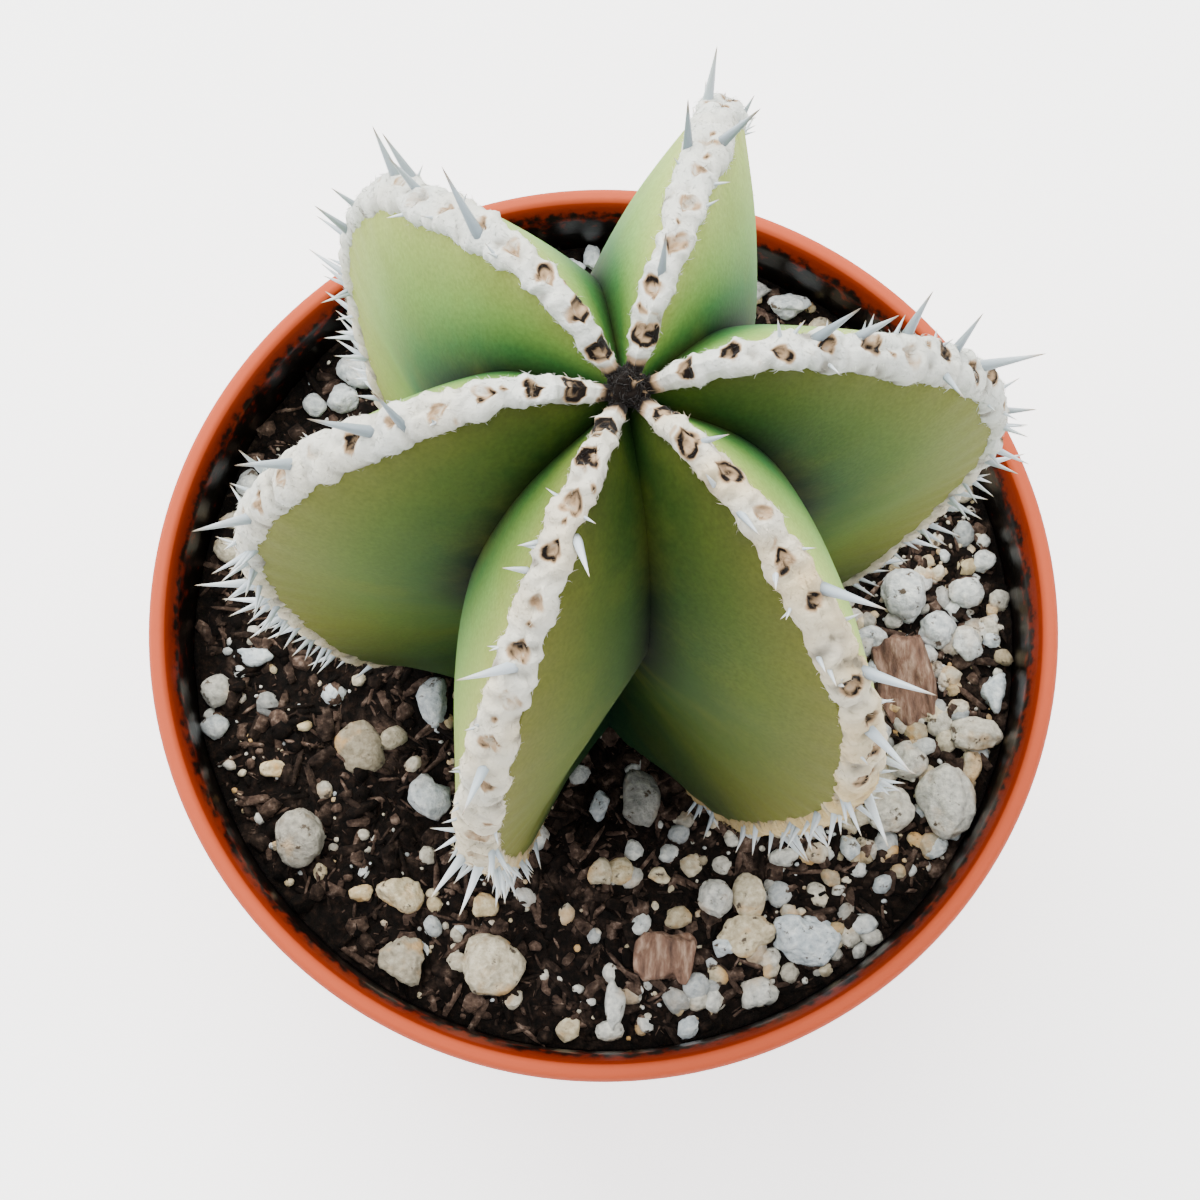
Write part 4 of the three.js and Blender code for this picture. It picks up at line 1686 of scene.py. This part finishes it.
@dataclass(frozen=True)
class PottingMix:
    """The plug of peat, with loose crumbs and perlite on its surface."""

    around: int = 440
    rings: int = 92
    top_radius: float = 47.6

    def build(self) -> bpy.types.Object:
        """Builds the plug.

        Returns:
            The closed mesh, with "spread" and "shade" values.
        """
        radii = self.top_radius * np.linspace(0.02, 1, self.rings) ** 0.8
        angles = np.linspace(0, math.tau, self.around, endpoint=False)
        x = (radii[:, None] * np.cos(angles)).ravel()
        y = (radii[:, None] * np.sin(angles)).ravel()
        rows = [np.stack([x, y, mix_height(x, y)], -1)]
        for radius, height in ((47.2, 72.5), (46.4, 70.0), (34.2, 4.6), (32.6, 3.35), (2.0, 3.35)):
            ring = np.stack([radius * np.cos(angles), radius * np.sin(angles), height + 0 * angles], -1)
            rows.append(ring)
        points = np.vstack(rows)
        total = self.rings + len(rows) - 1
        faces = grid_faces(total, self.around, wrap=True)
        faces.append(tuple(range(self.around)))
        faces.append(tuple(range(total * self.around - 1, (total - 1) * self.around - 1, -1)))
        spread = np.zeros(len(points))
        spread[: len(x)] = (np.hypot(x, y) < 46.5) & (np.hypot(x + 1.5, y - 1.5) > 12)
        shade = np.zeros(len(points))
        piece = mesh_piece("peat_plug", points * MM, faces, {"spread": spread, "shade": shade})
        face_outwards(piece)
        return piece

    def crumbs(self, plug: bpy.types.Object, peat: bpy.types.Material) -> bpy.types.Object:
        """Scatters loose bits of peat and bark.

        Args:
            plug: The mix.
            peat: Their finish.

        Returns:
            The bits, in one mesh.
        """
        shapes = [self._crumb(f"crumb_{i}", i) for i in range(5)]
        return Scatter(Bits.PEAT, 1.15, 0.5, 4.2, 3.0, (0, 55), 5).over(plug, shapes, peat)

    @staticmethod
    def _crumb(name: str, kind: int) -> bpy.types.Object:
        """A small angular bit: a splinter, a flake or a lump.

        Args:
            name: Its name.
            kind: 0 to 4, from long to round.

        Returns:
            The bit, about one unit across.
        """
        long, wide, thick = ((1.6, 0.16, 0.12), (1.2, 0.32, 0.12), (1.0, 0.6, 0.16), (0.7, 0.6, 0.45), (1.3, 0.22, 0.2))[kind]
        shape = bmesh.new()
        bmesh.ops.create_icosphere(shape, subdivisions=1, radius=1)
        unit = np.array([v.co[:] for v in shape.verts])
        faces = [[v.index for v in f.verts] for f in shape.faces]
        shape.free()
        random = np.random.default_rng(700 + kind)
        squared = np.sign(unit) * np.abs(unit) ** 0.6
        points = squared * np.array([long, wide, thick]) * 0.5
        points += random.uniform(-0.06, 0.06, points.shape) * np.array([1, wide, thick])
        return mesh_piece(name, points, faces)


@dataclass(frozen=True)
class Stone:
    """One larger stone: place, the three widths, how warm its colour is and how angular it is."""

    name: str
    at: tuple[float, float]
    size: tuple[float, float, float]
    warm: float
    shade: float = 0.9
    angular: float = 0.95
    sunk: float = 0.25

    def build(self, seed: int, detail: int) -> bpy.types.Object:
        """Builds the stone, half sunk in the mix.

        Args:
            seed: Picks its shape.
            detail: Subdivisions of the ball it is cut from.

        Returns:
            The mesh, with its "warm" and "shade" values.
        """
        shape = bmesh.new()
        bmesh.ops.create_icosphere(shape, subdivisions=detail, radius=1)
        unit = np.array([v.co[:] for v in shape.verts])
        faces = [[v.index for v in f.verts] for f in shape.faces]
        shape.free()
        random = np.random.default_rng(seed)
        cut = np.ones(len(unit))
        for _ in range(12):
            facet = random.normal(size=3)
            facet /= np.linalg.norm(facet)
            depth = random.uniform(0.58, 0.92)
            cut = np.minimum(cut, depth / np.maximum(unit @ facet, 1e-3))
        radius = 1 + (cut - 1) * self.angular
        radius += 0.16 * value_noise(unit, 0.7, seed) + 0.08 * value_noise(unit, 0.3, seed + 1)
        radius += 0.03 * value_noise(unit, 0.12, seed + 2)
        points = unit * radius[:, None] * np.array(self.size) * 0.5
        ground = float(mix_height(np.array([self.at[0]]), np.array([self.at[1]]))[0])
        lift = self.size[2] * (0.5 - self.sunk)
        points += np.array([self.at[0], self.at[1], ground + lift])
        values = {"warm": np.full(len(unit), self.warm), "shade": np.full(len(unit), self.shade)}
        return mesh_piece(self.name, points * MM, faces, values)


CAD_STONES = (
    Stone("stone_front_left", (-34.2, -23.9), (5.9, 7.0, 4.6), 0.5, 0.1, 0.25),
    Stone("stone_left_grey", (-44.4, -7.3), (4.6, 4.0, 3.2), 0.4, 0.3),
    Stone("stone_front_yellow", (-23.0, -30.3), (5.4, 4.5, 3.8), 0.9, 0.9),
    Stone("stone_front_tan", (-22.6, -37.8), (5.6, 5.6, 4.0), 0.7, 0.2),
    Stone("stone_front_pebble", (-12.5, -38.2), (7.2, 6.7, 4.8), 0.75, 0.9, 0.35),
    Stone("stone_front_cream", (12.6, -30.8), (4.0, 4.3, 3.4), 0.35, 0.95),
    Stone("stone_front_slab", (16.1, -35.0), (7.3, 5.0, 3.4), 0.85, 0.85),
    Stone("stone_front_blue", (22.5, -35.3), (7.8, 6.7, 4.6), 0.0, 0.9),
    Stone("stone_right_round", (34.8, 4.2), (5.5, 6.0, 4.8), 0.15, 0.95, 0.15),
    Stone("stone_right_white", (42.1, 4.4), (4.4, 3.7, 3.2), 0.2, 1.0, 0.3),
    Stone("stone_right_cream", (42.4, -12.2), (5.9, 4.0, 3.4), 0.55, 0.95, 0.3),
    Stone("stone_right_large", (39.0, -19.4), (6.8, 8.5, 5.0), 0.4, 0.95, 0.4),
    Stone("stone_right_front", (32.4, -20.8), (5.4, 5.7, 4.2), 0.5, 0.95, 0.2),
    Stone("stone_back_white", (22.2, 39.4), (5.4, 3.3, 3.0), 0.1, 1.0),
)
LOOSE_STONES = (
    Stone("blue_flat", (-40.3, -3.2), (4.6, 2.5, 1.8), 0.0),
    Stone("tan_crumb", (-27.5, -13.6), (6.8, 6.3, 3.0), 0.8, 0.0, 1.0, 0.35),
    Stone("white_by_rib", (-19.4, -8.4), (4.0, 5.7, 3.6), 0.05, 1.0),
    Stone("white_low", (-20.0, -19.3), (5.1, 6.2, 3.6), 0.1, 1.0),
    Stone("grey_shade", (4.1, -19.9), (5.1, 7.4, 4.0), 0.3, 0.1),
    Stone("blue_small", (-0.4, -20.4), (2.5, 3.4, 2.2), 0.0, 0.8),
    Stone("yellowish", (16.4, -30.6), (3.9, 5.0, 3.2), 0.8, 1.0, 0.2),
    Stone("speckled", (17.4, -41.2), (5.0, 4.4, 3.0), 0.35, 0.85, 0.8),
    Stone("bone", (1.3, -42.4), (2.2, 5.8, 2.0), 0.3, 1.0),
    Stone("cluster_a", (38.6, -0.4), (5.0, 4.6, 3.4), 0.1, 1.0, 0.8),
    Stone("cluster_b", (42.0, -1.6), (4.4, 4.4, 3.0), 0.2, 0.95, 0.8),
    Stone("cream_mid", (34.6, -15.3), (4.8, 4.8, 3.6), 0.45, 1.0, 0.2),
    Stone("tan_right", (42.0, -15.6), (3.4, 4.8, 3.0), 0.7, 0.8),
    Stone("blue_right", (45.0, -7.3), (3.0, 4.8, 2.6), 0.0, 0.9),
    Stone("cluster_c", (-29.0, 31.0), (5.0, 4.4, 3.2), 0.1, 1.0, 0.8),
    Stone("cluster_d", (-31.0, 27.8), (4.0, 4.2, 3.0), 0.1, 1.0, 0.8),
    Stone("round_white", (-34.2, 27.3), (2.8, 2.8, 2.2), 0.15, 0.95, 0.2),
    Stone("pale_left", (-41.6, 17.4), (3.5, 4.4, 3.0), 0.2, 1.0),
    Stone("cream_left", (-43.6, 9.6), (4.6, 3.5, 2.8), 0.7, 1.0),
    Stone("tan_left", (-43.2, 13.2), (3.6, 2.6, 2.4), 0.6, 0.95),
    Stone("white_back", (-3.4, 44.4), (3.0, 3.0, 2.2), 0.05, 1.0),
    Stone("white_back_b", (-1.2, 45.6), (2.4, 3.6, 2.2), 0.05, 1.0),
    Stone("ochre", (-37.6, -16.2), (3.2, 2.5, 2.0), 0.95, 0.85),
    Stone("cream_a", (-0.2, -28.0), (3.4, 3.4, 2.4), 0.8, 0.9),
    Stone("cream_b", (6.4, -28.4), (2.8, 2.2, 1.8), 0.85, 0.9),
    Stone("orange", (-27.3, -30.2), (2.8, 2.5, 1.8), 0.95, 0.9),
    Stone("tan_by_rib", (-8.0, -23.6), (3.0, 2.2, 1.8), 0.7, 0.9),
    Stone("tan_tip", (-13.5, -31.7), (3.1, 3.4, 2.2), 0.95, 0.85),
    Stone("white_rib", (30.7, -0.8), (4.6, 2.8, 2.4), 0.15, 1.0),
    Stone("white_edge", (44.4, 8.4), (3.2, 3.2, 2.4), 0.2, 1.0),
    Stone("pale_a", (28.0, -25.0), (2.6, 3.4, 2.2), 0.1, 0.9),
    Stone("pale_b", (20.4, -26.4), (3.4, 2.6, 2.2), 0.35, 0.95),
    Stone("pale_c", (13.4, -36.4), (3.0, 2.4, 2.0), 0.0, 0.9),
    Stone("pale_d", (29.2, -33.8), (3.6, 3.0, 2.2), 0.1, 0.8),
    Stone("white_e", (31.4, -5.0), (3.6, 3.0, 2.4), 0.1, 1.0),
    Stone("white_f", (37.6, -24.8), (3.0, 3.4, 2.2), 0.1, 0.9),
    Stone("dark_back", (16.8, 41.4), (6.0, 3.4, 2.4), 0.3, 0.25),
)


@dataclass(frozen=True)
class BarkChip:
    """A flake of bark standing for one CAD chip."""

    node: str
    at: tuple[float, float]
    size: tuple[float, float, float]
    turn: float

    def build(self, seed: int) -> bpy.types.Object:
        """Builds the chip with splintered ends and a ridged face.

        Args:
            seed: Picks its shape.

        Returns:
            The mesh.
        """
        shape = bmesh.new()
        bmesh.ops.create_cube(shape, size=1)
        bmesh.ops.subdivide_edges(shape, edges=shape.edges[:], cuts=23, use_grid_fill=True)
        unit = np.array([v.co[:] for v in shape.verts])
        faces = [[v.index for v in f.verts] for f in shape.faces]
        shape.free()
        rounded = unit * (1 - 0.22 * (np.abs(unit[:, [1, 2, 0]]) * 2) ** 4 * 0.6)
        points = rounded * np.array(self.size)
        ridges = value_noise(points * np.array([1, 0.22, 1]), 0.9, seed)
        points[:, 2] += 0.35 * ridges + 0.4 * value_noise(points, 2.6, seed + 1)
        points[:, 0] += 0.5 * value_noise(points, 2.2, seed + 2)
        points[:, 1] += 0.9 * value_noise(points * np.array([1, 0.3, 1]), 1.0, seed + 3)
        turned = points @ np.array(Euler((0.12, -0.1, math.radians(self.turn))).to_matrix()).T
        ground = float(mix_height(np.array([self.at[0]]), np.array([self.at[1]]))[0])
        placed = turned + np.array([self.at[0], self.at[1], ground + 0.5])
        return mesh_piece(self.node + "_flake", placed * MM, faces)


# ------------------------------------------------------------------------------- the studio


@dataclass(frozen=True)
class Studio:
    """Floor, lights and the camera that looks down on the plant."""

    tilt: float = 12.0
    distance: float = 240.0
    aim: tuple[float, float] = (-0.39, 1.67)
    lens: float = 64.37

    def build(self, paper: bpy.types.Material) -> None:
        """Builds the studio.

        Args:
            paper: The floor's finish.
        """
        self._floor(paper)
        self._camera()
        self._sky()
        self._softbox("back_softbox", (-0.25, 0.75, 0.85), 0.9, 28.0, "fffdf8")
        self._softbox("left_softbox", (-0.8, 0.0, 0.75), 0.7, 10.0, "fbfdff")
        self._softbox("right_softbox", (0.75, 0.15, 0.7), 0.6, 6.0, "fffdf8")
        self._softbox("top_softbox", (0.0, 0.1, 1.1), 0.8, 12.0, "ffffff")

    @staticmethod
    def _floor(paper: bpy.types.Material) -> None:
        """Lays the floor.

        Args:
            paper: Its finish.
        """
        ticks = np.linspace(-12, 12, 13)
        points = np.array([(x, y, 0.0) for y in ticks for x in ticks])
        faces = [tuple(reversed(f)) for f in grid_faces(13, 13, wrap=False)]
        floor = mesh_piece("floor", points, faces)
        floor.data.materials.append(paper)

    def _camera(self) -> None:
        """Sets the camera."""
        camera = bpy.data.objects.new("camera", bpy.data.cameras.new("camera"))
        bpy.context.scene.collection.objects.link(camera)
        camera.data.lens = self.lens
        camera.data.clip_start = 0.01
        angle = math.radians(self.tilt)
        camera.location = (
            self.aim[0] * MM,
            (self.aim[1] - self.distance * math.sin(angle)) * MM,
            (RIM_HEIGHT + self.distance * math.cos(angle)) * MM,
        )
        camera.rotation_euler = (angle, 0, 0)
        bpy.context.scene.camera = camera

    @staticmethod
    def _sky() -> None:
        """Sets the even light of the room."""
        world = bpy.data.worlds.new("studio")
        world.use_nodes = True
        tree = world.node_tree
        height = add_node(
            tree,
            "ShaderNodeSeparateXYZ",
            {"Vector": add_node(tree, "ShaderNodeTexCoord").outputs["Generated"]},
        )
        light = add_node(
            tree, "ShaderNodeMapRange", {"Value": height.outputs["Z"], "To Min": 0.5, "To Max": 0.95}
        )
        room = tree.nodes["Background"]
        room.inputs["Color"].default_value = linear("f6f9ff")
        tree.links.new(light.outputs["Result"], room.inputs["Strength"])
        bpy.context.scene.world = world

    @staticmethod
    def _softbox(name: str, at: tuple[float, float, float], size: float, power: float, tint: str) -> None:
        """Hangs a square softbox aimed at the plant.

        Args:
            name: Its name.
            at: Its place in metres.
            size: Its side in metres.
            power: Its power in watts.
            tint: Its colour.
        """
        light = bpy.data.lights.new(name, "AREA")
        light.shape = "SQUARE"
        light.size = size
        light.energy = power
        light.color = linear(tint)[:3]
        lamp = bpy.data.objects.new(name, light)
        bpy.context.scene.collection.objects.link(lamp)
        lamp.location = at
        lamp.rotation_euler = (Vector((0, 0, 0.1)) - Vector(at)).to_track_quat("-Z", "Y").to_euler()


# ------------------------------------------------------------------------------- assembly


def cad_names(test: Callable[[str], bool]) -> list[str]:
    """The CAD nodes whose name passes a test.

    Args:
        test: The test.

    Returns:
        The names, sorted.
    """
    return sorted(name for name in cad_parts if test(name))


def build_plant() -> None:
    """Builds the stem, its wool and its spines."""
    ribs = RibSystem()
    dress(Stem(ribs).build(), CactusSkin("waxy_cactus_skin").material(), ["cactus_stem"])
    felt = FeltedWool("felted_areole_wool").material()
    horn = SpineHorn("spine_horn").material()
    for rib in range(6):
        number = rib + 1
        dress(WoolBand(ribs, rib).build(felt), felt, [f"rib_{number}_wool"])
        nodes = cad_names(lambda name, n=number: name.startswith(f"rib_{n}_spine"))
        dress(SpineSet(ribs, rib).build(), horn, nodes)
    dress(CrownTuft(ribs).build(felt), felt, ["crown_tuft"])


def build_bed() -> None:
    """Builds the mix, its loose bits, the stones and the bark."""
    peat = Peat("peat_and_bark").material()
    mineral = Mineral("pumice_and_perlite").material()
    bark = BarkFinish("pine_bark").material()
    mix = PottingMix()
    plug = mix.build()
    dress(mix.crumbs(plug, peat), peat)
    dress(perlite_over(plug, mineral), mineral)
    dress(plug, peat, ["potting_mix"])
    for seed, stone in enumerate(CAD_STONES):
        piece = stone.build(500 + seed, 4)
        piece.name = stone.name + "_pumice"
        dress(piece, mineral, [stone.name])
    loose = [stone.build(600 + seed, 3) for seed, stone in enumerate(LOOSE_STONES)]
    dress(joined("loose_gravel", loose), mineral)
    chips = (
        BarkChip("bark_chip_right", (34.6, -6.0), (6.4, 9.6, 2.2), 12),
        BarkChip("bark_chip_front", (6.9, -37.2), (6.7, 5.0, 2.4), -10),
    )
    for seed, chip in enumerate(chips):
        dress(chip.build(800 + seed), bark, [chip.node])


def perlite_over(plug: bpy.types.Object, mineral: bpy.types.Material) -> bpy.types.Object:
    """Scatters small white grains, densest on the right and in patches.

    Args:
        plug: The mix.
        mineral: The grains' finish.

    Returns:
        The grains, in one mesh.
    """
    mesh = plug.data
    points = np.empty(len(mesh.vertices) * 3)
    mesh.vertices.foreach_get("co", points)
    points = points.reshape(-1, 3) / MM
    spread = np.empty(len(mesh.vertices), dtype=np.float32)
    mesh.attributes["spread"].data.foreach_get("value", spread)
    flat = points * np.array([1, 1, 0])
    patches = np.clip(0.2 + 1.3 * value_noise(flat, 7.0, 61), 0, 1)
    right = np.clip((points[:, 0] - 5) / 25, 0, 1) * np.clip(1.2 - np.abs(points[:, 1] + 6) / 40, 0, 1)
    ground = bpy.data.objects.new("perlite_ground", mesh.copy())
    density = (spread * (0.32 * patches + 0.75 * right + 0.08)).astype(np.float32)
    ground.data.attributes["spread"].data.foreach_set("value", density)
    grains = [Stone(f"grain_{i}", (0, 0), (1, 0.85, 0.7), 0, 1, 0.7).build(900 + i, 2) for i in range(4)]
    for grain in grains:
        centre_grain(grain)
    return Scatter(Bits.PERLITE, 0.75, 0.5, 4.0, 3.0, (0, 60), 8).over(ground, grains, mineral)


def centre_grain(grain: bpy.types.Object) -> None:
    """Moves a grain's mesh to the origin and makes it one unit across.

    Args:
        grain: The grain.
    """
    points = np.array([v.co[:] for v in grain.data.vertices])
    points = (points - points.mean(axis=0)) / MM
    grain.data.vertices.foreach_set("co", points.ravel())
    for label in ("warm", "shade"):
        grain.data.attributes.remove(grain.data.attributes[label])


def main() -> None:
    """Builds the object and its studio."""
    logging.basicConfig(level=logging.INFO, format="%(message)s")
    pot = NurseryPot().build()
    dress(pot, MouldedPlastic("terracotta_polypropylene").material(), ["pot"])
    build_bed()
    build_plant()
    Studio().build(StudioPaper("studio_paper").material())


if __name__ == "__main__":
    main()
